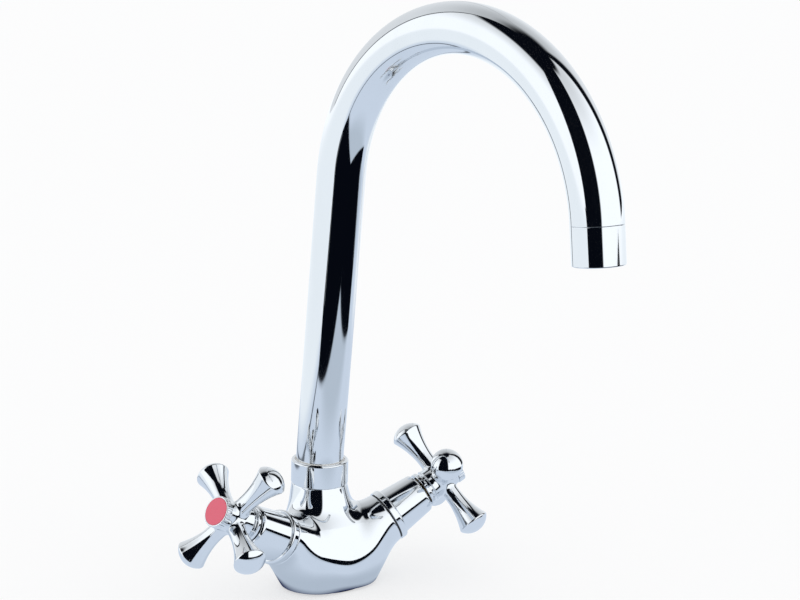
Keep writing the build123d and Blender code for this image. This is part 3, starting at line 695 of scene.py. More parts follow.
class BodyForm(Form):
    """The hull between the arms and the neck on top of it, joined by a wide valley and cut to size."""

    rows = 800
    halvings = 17
    least = 1e-6

    def __init__(self, size: BodySize) -> None:
        """Lays the hull's sections out along one arm; the other arm is its mirror image.

        Args:
            size: the body's sizes.
        """
        self.size = size
        self.cross = np.array(size.cross_point)
        self.way = arm_axis(1, size)
        stations = np.array([
            0.0, size.shoulder_at, size.mouth - size.land, size.mouth, size.mouth + size.land])
        spots = self.cross + self.way * stations[:, None]
        spots[0] = size.root
        spots[1] += size.shoulder_shift
        facings = [(0.0, 0.0), size.shoulder_facing] + [(size.rise, size.sweep)] * 3
        halves = [size.root_half, size.shoulder_half, size.land_half, size.mouth_half, size.mouth_half]
        knots = np.hstack([spots, facings, halves])
        flip = np.array([-1, 1, 1, -1, -1, 1, 1, 1])
        values = np.vstack([knots[:0:-1] * flip, knots])
        self.station = np.linspace(0, stations[-1], self.rows)
        table = Smooth(np.concatenate([-stations[:0:-1], stations]), values)(self.station)
        rise, sweep = np.radians(table[:, 3]), np.radians(table[:, 4])
        facing = np.stack([np.cos(rise) * np.cos(sweep), -np.cos(rise) * np.sin(sweep), np.sin(rise)], -1)
        self.table = np.hstack([table[:, :3], facing, table[:, 5:]])
        neck = np.array(size.neck)
        self.neck = Smooth(neck[:, 0], neck[:, 1:])

    def _row(self, where: Array) -> Array:
        """The hull's section values at fractional table rows.

        Args:
            where: row numbers.

        Returns:
            One row of values for each.
        """
        cell = np.clip(where.astype(int), 0, len(self.station) - 2)
        share = (where - cell)[:, None]
        return self.table[cell] * (1 - share) + self.table[cell + 1] * share

    def hull(self, folded: Array) -> Array:
        """Distance to the hull, from the ellipse of the section whose plane holds the point.

        The station is halved down on until (point - origin) . facing is zero there. With u and v the
        point's place in the section and a and b its half axes, q = |(u / a, v / b)| and the distance is
        (q - 1) * q / |(u / a^2, v / b^2)|.

        Args:
            folded: points with their X turned positive.

        Returns:
            The signed distances.
        """
        low = np.zeros(len(folded))
        high = np.full(len(folded), len(self.station) - 1.0)
        for _ in range(self.halvings):
            middle = (low + high) / 2
            row = self._row(middle)
            ahead = ((folded - row[:, :3]) * row[:, 3:6]).sum(-1) > 0
            low, high = np.where(ahead, middle, low), np.where(ahead, high, middle)
        row = self._row(low)
        offset, facing = folded - row[:, :3], row[:, 3:6]
        level = unit(np.stack([-facing[:, 1], facing[:, 0], np.zeros(len(facing))], -1))
        u = (offset * level).sum(-1)
        v = (offset * np.cross(facing, level)).sum(-1)
        a, b = row[:, 6], np.where(v > 0, row[:, 7], row[:, 8])
        q = np.hypot(u / a, v / b)
        return (q - 1) * q / np.maximum(np.hypot(u / a**2, v / b**2), self.least)

    def openings(self, folded: Array) -> Array:
        """Distance to the room inside: valve chambers, neck bore, gasket recess, inlets and stud hole.

        Args:
            folded: points with their X turned positive.

        Returns:
            The signed distances, below zero in the room.
        """
        size = self.size
        x, y, z = folded.T
        station = (folded - self.cross) @ self.way
        out = np.linalg.norm(folded - self.cross - station[:, None] * self.way, axis=1)
        rooms = [np.maximum(out - radius, start - station) for radius, start in size.chambers]
        rooms += [np.maximum(np.hypot(x - right, y - back) - radius, z - depth)
                  for right, back, radius, depth in size.holes]
        bore, floor = size.neck_bore
        rooms.append(np.maximum(np.hypot(x, y - size.neck[-1][1]) - bore, floor - z))
        recess = np.hypot(x / size.gasket_half[0], y / size.gasket_half[1]) - 1
        rooms.append(np.maximum(recess * size.gasket_half[1], z - size.gasket_top))
        return np.minimum.reduce(rooms)

    def distance(self, points: Array) -> Array:
        """Hull and neck joined over the valley, cut at the mouths, the neck's top and the underside.

        Args:
            points: any points.

        Returns:
            The signed distances.
        """
        size = self.size
        folded = points.copy()
        folded[:, 0] = np.abs(folded[:, 0])
        x, y, z = folded.T
        back, radius = self.neck(z).T
        neck = np.hypot(x, y - back) - radius
        blend = np.interp(z, size.valley_rise, [size.foot_valley, size.valley])
        solid = joined(self.hull(folded), neck, blend)
        station = (folded - self.cross) @ self.way
        for cut in (z - size.neck[-1][0], size.underside - z, station - size.mouth):
            solid = kept(solid, cut, size.edge)
        pipe, middle, half = size.spigot
        spigot = np.maximum(np.hypot(x, y - size.neck[-1][1]) - pipe, np.abs(z - middle) - half)
        return kept(np.minimum(solid, spigot), -self.openings(folded), size.inner_edge)


# ---------------------------------------------------------------------------
# The cross handle
# ---------------------------------------------------------------------------


class HandleForm(Form):
    """Four flared levers round a hub, joined by small fillets, in a frame whose X runs along a lever."""

    flare_points = 24
    dome_points = 20

    def __init__(self, size: TapSize) -> None:
        """Draws the lever's and the hub's outlines and makes their distance tables.

        The flare is a cubic between the lever's neck and its rim that leaves along the lever and arrives
        at `lever_flare` degrees to it.

        Args:
            size: the tap's sizes.
        """
        self.size = size
        level = size.lever_station
        rim_at, rim_out = size.lever_rim
        chord = math.hypot(rim_at - size.lever_neck, rim_out - size.lever_root)
        share = np.linspace(0, 1, self.flare_points)[:-1, None]
        start, end = np.array([size.lever_root, size.lever_neck]), np.array([rim_out, rim_at])
        slant = math.radians(size.lever_flare)
        leave, arrive = np.array([0, chord]), np.array([math.sin(slant), math.cos(slant)]) * chord
        flare = (start * (2 * share**3 - 3 * share**2 + 1) + end * (3 * share**2 - 2 * share**3)
                 + leave * (share**3 - 2 * share**2 + share) + arrive * (share**3 - share**2))
        rise = size.lever_end - rim_at
        ball = (rim_out**2 + rise**2) / (2 * rise)
        bow = np.linspace(math.asin(rim_out / ball), 0, self.dome_points)[1:, None]
        dome = np.hstack([ball * np.sin(bow), size.lever_end - ball + ball * np.cos(bow)])
        corners = [(0, 0, 0), (size.lever_root, 0, 0)]
        corners += [(out, along, 0) for out, along in flare.tolist()]
        corners += [(rim_out, rim_at, size.lever_rim_edge)]
        corners += [(out, along, 0) for out, along in dome.tolist()]
        self.lever = TurnedForm(Profile.rounded(corners, False).points)
        skirt_low, skirt_high, skirt_out = size.skirt
        hub = [
            (0, skirt_low, 0), (skirt_out, skirt_low, 0.35), (skirt_out, skirt_high, 0.35),
            (size.groove[1], skirt_high, 0.2), (size.groove[1], size.groove[0], 0.2),
            (size.hub_foot, size.groove[0], 0.35), (size.hub_top[1], level, 0),
            (size.hub_top[1], size.hub_top[0], 0.35), (0, size.hub_top[0], 0),
        ]
        self.hub = TurnedForm(Profile.rounded([(o, a - level, r) for o, a, r in hub], False).points)

    def distance(self, points: Array) -> Array:
        """The levers, folded onto one of them, and the hub, with the spindle's socket and the screw's well.

        Args:
            points: points in the handle's frame.

        Returns:
            The signed distances.
        """
        size, height = self.size, points[:, 2]
        flat = np.abs(points[:, :2])
        lever = self.lever(np.hypot(flat.min(1), height), flat.max(1))
        out = np.hypot(points[:, 0], points[:, 1])
        solid = joined(lever, self.hub(out, height), size.lever_fillet)
        rooms = [np.maximum(out - radius, height - (end - size.lever_station))
                 for radius, end in (size.socket, size.relief)]
        radius, floor = size.well
        rooms.append(np.maximum(out - radius, floor - size.lever_station - height))
        return np.maximum(solid, -np.minimum.reduce(rooms))


# ---------------------------------------------------------------------------
# Shader building
# ---------------------------------------------------------------------------


class Socket:
    """A value in a node tree that can be added, multiplied and compared like a number."""

    def __init__(self, graph: "Graph", source: bpy.types.NodeSocket) -> None:
        """Holds an output socket and the tree that it belongs to."""
        self.graph = graph
        self.source = source

    def operate(self, kind: str, *others: "Socket | float") -> "Socket":
        """A Math node of this kind, fed with this value first."""
        return self.graph.out("ShaderNodeMath", 0, dict(enumerate((self, *others))), operation=kind)

    def __add__(self, other: "Socket | float") -> "Socket":
        """This value and another together."""
        return self.operate("ADD", other)

    __radd__ = __add__

    def __sub__(self, other: "Socket | float") -> "Socket":
        """This value less another."""
        return self.operate("SUBTRACT", other)

    def __rsub__(self, other: float) -> "Socket":
        """A number less this value."""
        return self * -1.0 + other

    def __mul__(self, other: "Socket | float") -> "Socket":
        """This value times another."""
        return self.operate("MULTIPLY", other)

    __rmul__ = __mul__

    def __abs__(self) -> "Socket":
        """This value without its sign."""
        return self.operate("ABSOLUTE")

    def above(self, low: float, high: float) -> "Socket":
        """0 below `low`, 1 above `high`, and a smooth step between them."""
        inputs = {"Value": self, "From Min": low, "From Max": high}
        return self.graph.out("ShaderNodeMapRange", "Result", inputs, interpolation_type="SMOOTHSTEP")


def larger(first: Socket | Array, second: Socket | Array | float) -> Socket | Array:
    """The larger of two values, in nodes or in arrays."""
    return first.operate("MAXIMUM", second) if isinstance(first, Socket) else np.maximum(first, second)


class Graph:
    """Builds the nodes of one material or world."""

    def __init__(self, tree: bpy.types.NodeTree) -> None:
        """Empties the tree, ready for new nodes."""
        self.tree = tree
        tree.nodes.clear()

    def feed(self, target: bpy.types.NodeSocket, value: object) -> None:
        """Links an output to an input, or sets the input's own value.

        Args:
            target: the input.
            value: a Socket, a node's output, a number, a vector or a colour.
        """
        source = value.source if isinstance(value, Socket) else value
        if isinstance(source, bpy.types.NodeSocket):
            self.tree.links.new(source, target)
        elif isinstance(source, tuple):
            target.default_value = (source + (1.0,))[:len(target.default_value)]
        else:
            target.default_value = source

    def node(self, kind: str, inputs: dict[str | int, object] | None = None,
             **settings: object) -> bpy.types.Node:
        """Adds a node.

        Args:
            kind: its type.
            inputs: what each input is fed with, by name or number.
            settings: its properties, which are set first.

        Returns:
            The node.
        """
        made = self.tree.nodes.new(kind)
        for name, value in settings.items():
            setattr(made, name, value)
        for name, value in (inputs or {}).items():
            self.feed(made.inputs[name], value)
        return made

    def out(self, kind: str, output: str | int, inputs: dict[str | int, object] | None = None,
            **settings: object) -> Socket:
        """One output of a new node."""
        return Socket(self, self.node(kind, inputs, **settings).outputs[output])

    def vector(self, kind: str, *values: object, output: str = "Value") -> Socket:
        """A Vector Math node's result."""
        return self.out("ShaderNodeVectorMath", output, dict(enumerate(values)), operation=kind)

    def mix(self, low: object, high: object, share: object) -> Socket:
        """A colour between two others."""
        return self.out("ShaderNodeMix", 2, {0: share, 6: low, 7: high}, data_type="RGBA", clamp_factor=True)

    def place(self, scale: Triple) -> Socket:
        """The object's own coordinates in metres, stretched along its axes."""
        spot = self.out("ShaderNodeTexCoord", "Object")
        return self.out("ShaderNodeMapping", 0, {"Vector": spot, "Scale": scale})

    def noise(self, vector: Socket, scale: float, detail: float, roughness: float = 0.5) -> Socket:
        """A noise value about 0.5."""
        inputs = {"Vector": vector, "Scale": scale, "Detail": detail, "Roughness": roughness}
        return self.out("ShaderNodeTexNoise", 0, inputs)

    def bump(self, height: Socket, depth: float) -> Socket:
        """A normal from a height between 0 and 1 that stands for `depth` metres."""
        return self.out("ShaderNodeBump", 0, {"Height": height, "Distance": depth, "Strength": 1.0})

    def end(self, kind: str, shader: bpy.types.Node) -> None:
        """Adds the output node of this kind and gives it the shader."""
        self.node(kind, {"Surface": shader.outputs[0]})

    def surface(self, inputs: dict[str, object]) -> None:
        """Ends a material in a Principled shader with these inputs."""
        self.end("ShaderNodeOutputMaterial", self.node("ShaderNodeBsdfPrincipled", inputs))


def new_material(name: str) -> tuple[bpy.types.Material, Graph]:
    """A new material and the builder of its nodes."""
    material = bpy.data.materials.new(name)
    material.use_nodes = True
    return material, Graph(material.node_tree)


def add_object(name: str, data: bpy.types.ID) -> bpy.types.Object:
    """Puts a new object with this data into the scene, at the origin."""
    made = bpy.data.objects.new(name, data)
    bpy.context.scene.collection.objects.link(made)
    return made


class Axis(Enum):
    """The direction that a piece was turned or drawn along, in its own frame, as a stretch of its pattern."""

    Z = (1.0, 1.0, 0.15)
    NONE = (1.0, 1.0, 1.0)


@dataclass(frozen=True)
class Chrome:
    """Polished plating: nearly a mirror, with faint unevenness under it and a film of wipes on it."""

    name: str
    colour: Triple = (0.80, 0.82, 0.84)
    roughness: float = 0.045
    ripple: float = 4e-6
    ripple_scale: float = 45.0
    grain: Axis = Axis.NONE
    wipe_scale: float = 38.0
    wipe_from: Pair = (0.45, 0.75)
    wipe_haze: float = 0.02
    wipe_tone: float = 0.965
    fine_scale: float = 900.0
    fine_haze: float = 0.008

    def build(self) -> bpy.types.Material:
        """Makes the material; the plating follows the base's slow ripple and the wipes dull it a little."""
        material, graph = new_material(self.name)
        place = graph.place(self.grain.value)
        film = graph.noise(place, self.wipe_scale, 4.0, 0.6).above(*self.wipe_from)
        fine = graph.noise(place, self.fine_scale, 2.0)
        ripple = graph.noise(place, self.ripple_scale, 2.0, 0.4)
        graph.surface({
            "Base Color": graph.mix(self.colour, tuple(c * self.wipe_tone for c in self.colour), film),
            "Metallic": 1.0,
            "Roughness": self.roughness + film * self.wipe_haze + (fine - 0.5) * self.fine_haze,
            "Normal": graph.bump(ripple, self.ripple),
        })
        return material


@dataclass(frozen=True)
class Finish:
    """A plain material with two tones, its own roughness and a little relief."""

    name: str
    colour: Triple
    roughness: float = 0.4
    metallic: float = 0.0
    coat: float = 0.0
    coat_roughness: float = 0.05
    mottle: float = 0.06
    slow_share: float = 0.6
    slow_size: float = 12.0
    haze: float = 0.08
    scale: float = 300.0
    relief: float = 5e-6
    grain: Axis = Axis.NONE

    def build(self) -> bpy.types.Material:
        """Makes the material; a fine noise moves tone, roughness and surface together."""
        material, graph = new_material(self.name)
        place = graph.place(self.grain.value)
        speckle = graph.noise(place, self.scale, 4.0, 0.6)
        slow = graph.noise(place, self.scale / self.slow_size, 2.0)
        low = tuple(c * (1 - self.mottle) for c in self.colour)
        high = tuple(min(c * (1 + self.mottle), 1.0) for c in self.colour)
        graph.surface({
            "Base Color": graph.mix(low, high, slow * self.slow_share + speckle * (1 - self.slow_share)),
            "Metallic": self.metallic,
            "Roughness": self.roughness + (speckle - 0.5) * self.haze,
            "Coat Weight": self.coat,
            "Coat Roughness": self.coat_roughness,
            "Normal": graph.bump(speckle, self.relief),
        })
        return material


FINISHES: dict[str, Chrome | Finish] = {
    "body_chrome": Chrome("cast_body_chrome", ripple=7e-6, ripple_scale=38.0),
    "nut_chrome": Chrome("turned_nut_chrome", ripple=1.5e-6, ripple_scale=120.0, grain=Axis.Z),
    "spout_chrome": Chrome("drawn_tube_chrome", ripple=3e-6, ripple_scale=60.0, grain=Axis.Z),
    "outlet_chrome": Chrome("outlet_chrome", ripple=1.5e-6, ripple_scale=120.0),
    "collar_chrome": Chrome("collar_chrome", ripple=1.5e-6, ripple_scale=140.0),
    "sleeve_chrome": Chrome("sleeve_chrome", ripple=1.5e-6, ripple_scale=120.0),
    "handle_chrome": Chrome("cast_handle_chrome", ripple=5e-6, ripple_scale=70.0),
    "button_chrome": Chrome("button_chrome", ripple=1.5e-6, ripple_scale=140.0),
    "brass": Finish("machined_brass", (0.62, 0.40, 0.14), 0.32, 1.0, grain=Axis.Z),
    "spring_steel": Finish("spring_steel", (0.42, 0.43, 0.45), 0.30, 1.0),
    "rubber": Finish("nitrile_rubber", (0.022, 0.022, 0.024), 0.55, relief=1.5e-5),
    "slip_plastic": Finish("acetal", (0.78, 0.78, 0.76), 0.35),
    "aerator_plastic": Finish("aerator_plastic", (0.70, 0.72, 0.73), 0.38),
    "valve_ceramic": Finish("alumina", (0.86, 0.85, 0.82), 0.22, coat=0.3),
    "index_red": Finish("red_index", (0.70, 0.075, 0.135), 0.22, coat=0.6, mottle=0.03),
    "index_blue": Finish("blue_index", (0.06, 0.16, 0.58), 0.22, coat=0.6, mottle=0.03),
}


# ---------------------------------------------------------------------------
# Pieces
# ---------------------------------------------------------------------------


class Assembly:
    """A group of finished pieces that stand for CAD nodes and share a body."""

    def __init__(self, body: str, paint: "Paint") -> None:
        """Names the CAD body that the pieces ride on."""
        self.body = body
        self.paint = paint

    def dress(self, surface: Surface, node: str, slot: str) -> bpy.types.Object:
        """Turns a surface into the piece that stands for a node.

        Args:
            surface: the closed surface in the faucet's frame.
            node: the CAD node that it replaces.
            slot: the record's material slot for its finish.

        Returns:
            The finished piece.
        """
        piece = add_object(f"{node}_look", surface.mesh(f"{node}_look"))
        piece.data.materials.append(self.paint.of(slot))
        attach(piece, self.body)
        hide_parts(node)
        log.info("%s: %d faces", node, len(piece.data.polygons))
        return piece

    def build(self) -> None:
        """Makes the group's pieces."""
        raise NotImplementedError


class Paint:
    """Hands out each slot's material, made once."""

    def __init__(self) -> None:
        """Starts with nothing made."""
        self.made: dict[str, bpy.types.Material] = {}

    def of(self, slot: str) -> bpy.types.Material:
        """The material of a slot."""
        if slot not in self.made:
            self.made[slot] = FINISHES[slot].build()
        return self.made[slot]

    def cover(self, nodes: dict[str, bpy.types.Object], slots: dict[str, str]) -> None:
        """Gives every CAD node that stays in sight its slot's material."""
        for name, node in nodes.items():
            if not node.hide_render:
                node.data.materials.clear()
                node.data.materials.append(self.of(slots[name]))


class BodyPieces(Assembly):
    """The cast body and the spout's nut."""

    size = BodySize()
    spout = SpoutSize()

    def build(self) -> None:
        """Meshes the body's form and turns the nut."""
        size, spout = self.size, self.spout
        found = BodyForm(size).surface(np.array(size.low), np.array(size.high), size.grid)
        self.dress(found, "faucet_body", "body_chrome")
        lip = spout.nut_top - spout.nut_lip
        nut = Profile.rounded([
            (spout.nut_bore, spout.nut_bottom, 0.1), (spout.nut_radius, spout.nut_bottom, 0.25),
            (spout.nut_radius, spout.nut_top, 0.9), (spout.nut_lip_radius, spout.nut_top, 0.2),
            (spout.nut_lip_radius, lip, 0.1), (spout.nut_bore, lip, 0.1)], True)
        axis = Placing.along(np.array([*spout.axis, 0.0]), np.array([0, 0, 1]), np.array([1, 0, 0]))
        self.dress(turned(nut, axis), "spout_nut", "nut_chrome")


class SpoutPieces(Assembly):
    """The bent tube and the outlet sleeve on its end."""

    size = SpoutSize()

    def build(self) -> None:
        """Carries the tube's and the sleeve's outlines along the spout's path."""
        size = self.size
        turn = math.radians(size.turn)
        runs = [(length, math.radians(bend)) for length, bend in size.runs]
        path = Path(np.array([*size.axis, size.tube_bottom]), np.array([0.0, 0, 1]),
                    np.array([math.sin(turn), -math.cos(turn), 0]), (*runs, (size.sleeve_length, 0.0)))
        tip = path.length
        end = tip - size.sleeve_length
        tube = Profile.rounded([
            (size.bore_radius, 0, 0.1), (size.tube_radius, 0, 0.25),
            (size.tube_radius, end, 0.22), (size.bore_radius, end, 0.1)], True)
        self.dress(carried(tube, path), "spout_tube", "spout_chrome")
        sleeve = Profile.rounded([
            (size.sleeve_bore, end, 0.1), (size.tube_radius, end, 0.22), (size.tube_radius, tip, 0.5),
            (size.lip_bore, tip, 0.3), (size.lip_bore, tip - size.lip, 0.1),
            (size.sleeve_bore, tip - size.lip, 0.1)], True)
        self.dress(carried(sleeve, path), "outlet_sleeve", "outlet_chrome")


class TapPieces(Assembly):
    """The collar and sleeve on one arm, which stay, and the handle with its button, which turn."""

    size = TapSize()
    arm = BodySize()

    def __init__(self, tap: str, side: int, lever_angle: float, disc_slot: str, paint: Paint) -> None:
        """Sets out one tap.

        Args:
            tap: "hot" or "cold".
            side: -1 for the hot arm, 1 for the cold one.
            lever_angle: how far the first lever is turned from level, in degrees.
            disc_slot: the index disc's material slot.
            paint: the materials.
        """
        super().__init__("body", paint)
        self.tap = tap
        self.lever_angle = math.radians(lever_angle)
        self.disc_slot = disc_slot
        way = arm_axis(side, self.arm)
        level = np.cross([0, 0, 1], way)
        self.axis = Placing.along(np.array(self.arm.cross_point), way, level)

    def build(self) -> None:
        """Makes the five pieces of this tap."""
        self._fixed_pieces()
        self.body = f"{self.tap}_tap"
        self._handle()
        self._index()

    def _fixed_pieces(self) -> None:
        """Turns the collar and the sleeve."""
        size = self.size
        low, high = size.collar
        collar = Profile.rounded([
            (size.collar_bore, low, 0.1), (size.collar_radius, low, 0.25),
            (size.collar_radius, high, 1.1), (size.collar_bore, high, 0.1)], True)
        self.dress(turned(collar, self.axis), f"{self.tap}_collar", "collar_chrome")

        low, high = size.sleeve
        waist_at, waist = size.sleeve_waist
        slant = (size.sleeve_radius - waist) / (waist_at - low)
        lip = high - size.sleeve_lip
        neck_length, neck = size.sleeve_neck
        lead_length, lead = size.sleeve_lead
        sleeve = Profile.rounded([
            (lead, low, 0.1), (size.sleeve_radius, low, 0.25),
            (size.sleeve_radius - slant * (high - low), high, 1.7), (size.sleeve_mouth, high, 0.25),
            (size.sleeve_mouth, lip, 0.1), (neck, lip, 0.1), (neck, high - neck_length, 0.1),
            (size.sleeve_bore, high - neck_length, 0.1), (size.sleeve_bore, low + lead_length, 0.1)], True)
        self.dress(turned(sleeve, self.axis), f"{self.tap}_sleeve", "sleeve_chrome")

    def _handle(self) -> None:
        """Meshes the cross handle in its own frame and puts it on the arm's axis."""
        size, axis = self.size, self.axis
        first = axis.x * math.cos(self.lever_angle) + axis.y * math.sin(self.lever_angle)
        hub = Placing.along(axis.origin + axis.z * size.lever_station, axis.z, first)
        reach = size.lever_end + size.margin
        low = np.array([-reach, -reach, size.skirt[0] - size.lever_station - size.margin])
        found = HandleForm(size).surface(low, np.array([reach, reach, size.top]), size.grid)
        placed = Surface(hub.place(found.points), found.faces, hub.turn(found.normals))
        self.dress(placed, f"{self.tap}_handle", "handle_chrome")

    def _index(self) -> None:
        """Turns the button, whose rim is fluted, and the disc in it."""
        size = self.size
        foot, top, rim = size.button
        seat, face, disc_out = size.disc
        well = disc_out + size.disc_fit
        button = Profile.rounded([
            (0, foot, 0), (rim, foot, 0.15), (rim, top, 0.5), (well, top, 0.08), (well, seat, 0.05),
            (0, seat, 0)], False)
        half, depth, fade_from, fade = size.flute
        around = size.flutes * size.flute_columns
        arc = (np.linspace(0, 2 * np.pi, around, endpoint=False) * size.flutes / (2 * np.pi) + 0.5) % 1 - 0.5
        bite = np.sqrt(np.clip(1 - (arc * 2 * np.pi * rim / size.flutes / half) ** 2, 0, None)) * depth
        share = np.clip((button.points[:, 0] - rim + fade_from) / fade, 0, 1)
        fluted = turned(button, self.axis, around, -share[:, None] * bite)
        self.dress(fluted, f"{self.tap}_index_button", "button_chrome")
        disc = Profile.rounded([
            (0, seat, 0), (disc_out, seat, 0.1), (disc_out, face, 0.2), (0, face, 0)], False)
        self.dress(turned(disc, self.axis), f"{self.tap}_index_disc", self.disc_slot)


# ---------------------------------------------------------------------------
# Studio
# ---------------------------------------------------------------------------


@dataclass(frozen=True)
class ViewPoint:
    """The photograph's viewpoint: angles in degrees, lengths in millimetres, the picture in pixels."""

    azimuth: float = 35.61
    elevation: float = 13.24
    roll: float = 1.8
    distance: float = 989.86
    aim_right: float = 34.9
    aim_back: float = 6.15
    aim_up: float = 134.35
    focal: float = 2167.49
    width: int = 800
    sensor: float = 36.0
    nearest: float = 0.01

    def camera(self) -> bpy.types.Object:
        """Adds the camera.

        Its columns are right, up and back, turned by the roll, and it stands the distance back from the
        aim.

        Returns:
            The camera.
        """
        az, el, roll = (math.radians(v) for v in (self.azimuth, self.elevation, self.roll))
        right = Vector((math.cos(az), -math.sin(az), 0))
        back = Vector((-math.sin(az) * math.cos(el), -math.cos(az) * math.cos(el), math.sin(el)))
        up = back.cross(right)
        level = right * math.cos(roll) + up * math.sin(roll)
        rise = up * math.cos(roll) - right * math.sin(roll)
        aim = Vector((self.aim_right * right.x, self.aim_right * right.y + self.aim_back, self.aim_up))
        spot = (aim + back * self.distance) * MM
        lens = bpy.data.cameras.new("camera")
        lens.sensor_width = self.sensor
        lens.lens = self.focal / self.width * self.sensor
        lens.clip_start = self.nearest
        camera = add_object("camera", lens)
        camera.matrix_world = Matrix((
            (level.x, rise.x, back.x, spot.x), (level.y, rise.y, back.y, spot.y),
            (level.z, rise.z, back.z, spot.z), (0, 0, 0, 1)))
        return camera


@dataclass(frozen=True)
class SoftBox:
    """A bright panel that the chrome mirrors.

    It starts and stops at angles about the object and ends at a height, all in degrees; `soft` and
    `over` are half the widths of its side and top edges. Its light falls from one strength at `fade`
    degrees up to another at the top edge.
    """

    start: float
    stop: float
    top: float
    soft: float
    over: float
    fade: float
    light: Pair
    tint: Triple = (0.965, 1.0, 1.035)

    def share(self, azimuth: Socket, height: Socket) -> Socket:
        """How much of the panel lies in a direction, 0 to 1.

        Args:
            azimuth: degrees round the object, 0 towards the camera and rising to its right.
            height: degrees above level.

        Returns:
            The share.
        """
        enter = azimuth.above(self.start - self.soft, self.start + self.soft)
        leave = azimuth.above(self.stop - self.soft, self.stop + self.soft)
        over = height.above(self.top - self.over, self.top + self.over)
        return enter * (1.0 - leave) * (1.0 - over)

    def tone(self, graph: Graph, height: Socket) -> Socket:
        """The panel's colour at a height in degrees."""
        low, high = (tuple(channel * light for channel in self.tint) for light in self.light)
        return graph.mix(low, high, height.above(self.fade, self.top))


@dataclass(frozen=True)
class Paper:
    """The floor as the chrome mirrors it: pale paper that ends in front of the object.

    Lengths are in metres. Each pair is where a tone begins and where it is full: by the distance from
    the object for `foot`, `end` and `shade`, by the way to the front for `front`, and past the seam, at
    the right and at the back for `far`. The seam is a fine dark line, an arc that parts the paper from
    the brighter floor behind the object. Near the foot the paper's tone is darkened with painted shade
    from the object, and closest about the foot lies a painted contact shadow.
    """

    # Painted shade: the mirrored paper is darker close about the foot, where the object shades it.
    foot_shade_tone: Triple = (0.52, 0.60, 0.71)
    tone: Triple = (0.69, 0.78, 0.91)
    front_tone: Triple = (0.54, 0.62, 0.72)
    far_tone: Triple = (0.97, 1.03, 1.08)
    end_tone: Triple = (1.14, 1.18, 1.22)
    # Painted contact shadow: nearly black, in a thin ring round the foot.
    shade_tone: Triple = (0.02, 0.03, 0.10)
    foot: Pair = (0.030, 0.050)
    front: Pair = (0.12, 0.21)
    far: Pair = (0.0, 0.12)
    far_right: tuple[Pair, Pair] = ((0.35, 0.5), (-0.1, 0.1))
    far_back: Pair = (0.45, 0.6)
    end: Pair = (1.0, 4.0)
    shade: Pair = (0.0205, 0.0255)
    shade_shape: Triple = (0.875, 1.0, 1.0)
    seam_centre: Pair = (0.278, -0.313)
    seam_radius: float = 0.611
    seam: Pair = (0.004, 0.012)
    seam_depth: float = 0.8
    corner: Pair = (0.02, -0.115)
    bay: float = 0.3
    slopes: Pair = (0.9, 0.65)
    lean: float = 0.1
    bend: Pair = (0.75, 0.5)
    edge_soft: float = 0.022

    def edge(self, aside: Socket | Array) -> Socket | Array:
        """Where the paper's front edge stands: a corner that points forwards between two dark bays.

        It lies forward of `corner[1]` by the larger of slopes[0] * (bay - |aside|) and slopes[1] *
        (|aside| - bay), and by lean * aside.

        Args:
            aside: distances to the right of the corner, in nodes or in an array.

        Returns:
            The edge's Y.
        """
        out = abs(aside)
        bays = larger((self.bay - out) * self.slopes[0], (out - self.bay) * self.slopes[1])
        return bays * -1.0 + self.corner[1] - aside * self.lean

    def colour(self, graph: Graph, dark: Triple) -> Socket:
        """The floor's colour in the mirror.

        Args:
            graph: the floor's nodes.
            dark: the colour of the seam and of all that lies past the front edge.

        Returns:
            The colour.
        """
        spot = graph.out("ShaderNodeTexCoord", "Object")
        x, y = (graph.out("ShaderNodeSeparateXYZ", axis, {0: spot}) for axis in (0, 1))
        edge = self.edge(x - self.corner[0]) + larger(x * -1.0 - self.bend[0], 0.0) * self.bend[1]
        away = graph.vector("LENGTH", spot)
        beyond = graph.vector("DISTANCE", spot, (*self.seam_centre, 0.0)) - self.seam_radius
        right = x.above(*self.far_right[0]) * y.above(*self.far_right[1])
        far = larger(larger(beyond.above(*self.far), right), y.above(*self.far_back))
        seam = (1.0 - abs(beyond).above(*self.seam)) * self.seam_depth
        beside = graph.vector("LENGTH", graph.vector("MULTIPLY", spot, self.shade_shape, output="Vector"))
        # Painted shade: within `foot` of the object the mirrored paper takes the darker foot tone.
        tone = graph.mix(self.foot_shade_tone, self.tone, away.above(*self.foot))
        for colour, share in ((self.front_tone, (y * -1.0).above(*self.front)), (self.far_tone, far),
                              (self.end_tone, away.above(*self.end)), (dark, seam)):
            tone = graph.mix(tone, colour, share)
        # Painted contact shadow: the mirrored paper turns nearly black just round the hull's foot.
        tone = graph.mix(self.shade_tone, tone, beside.above(*self.shade))
        return graph.mix(dark, tone, (y - edge).above(-self.edge_soft, self.edge_soft))


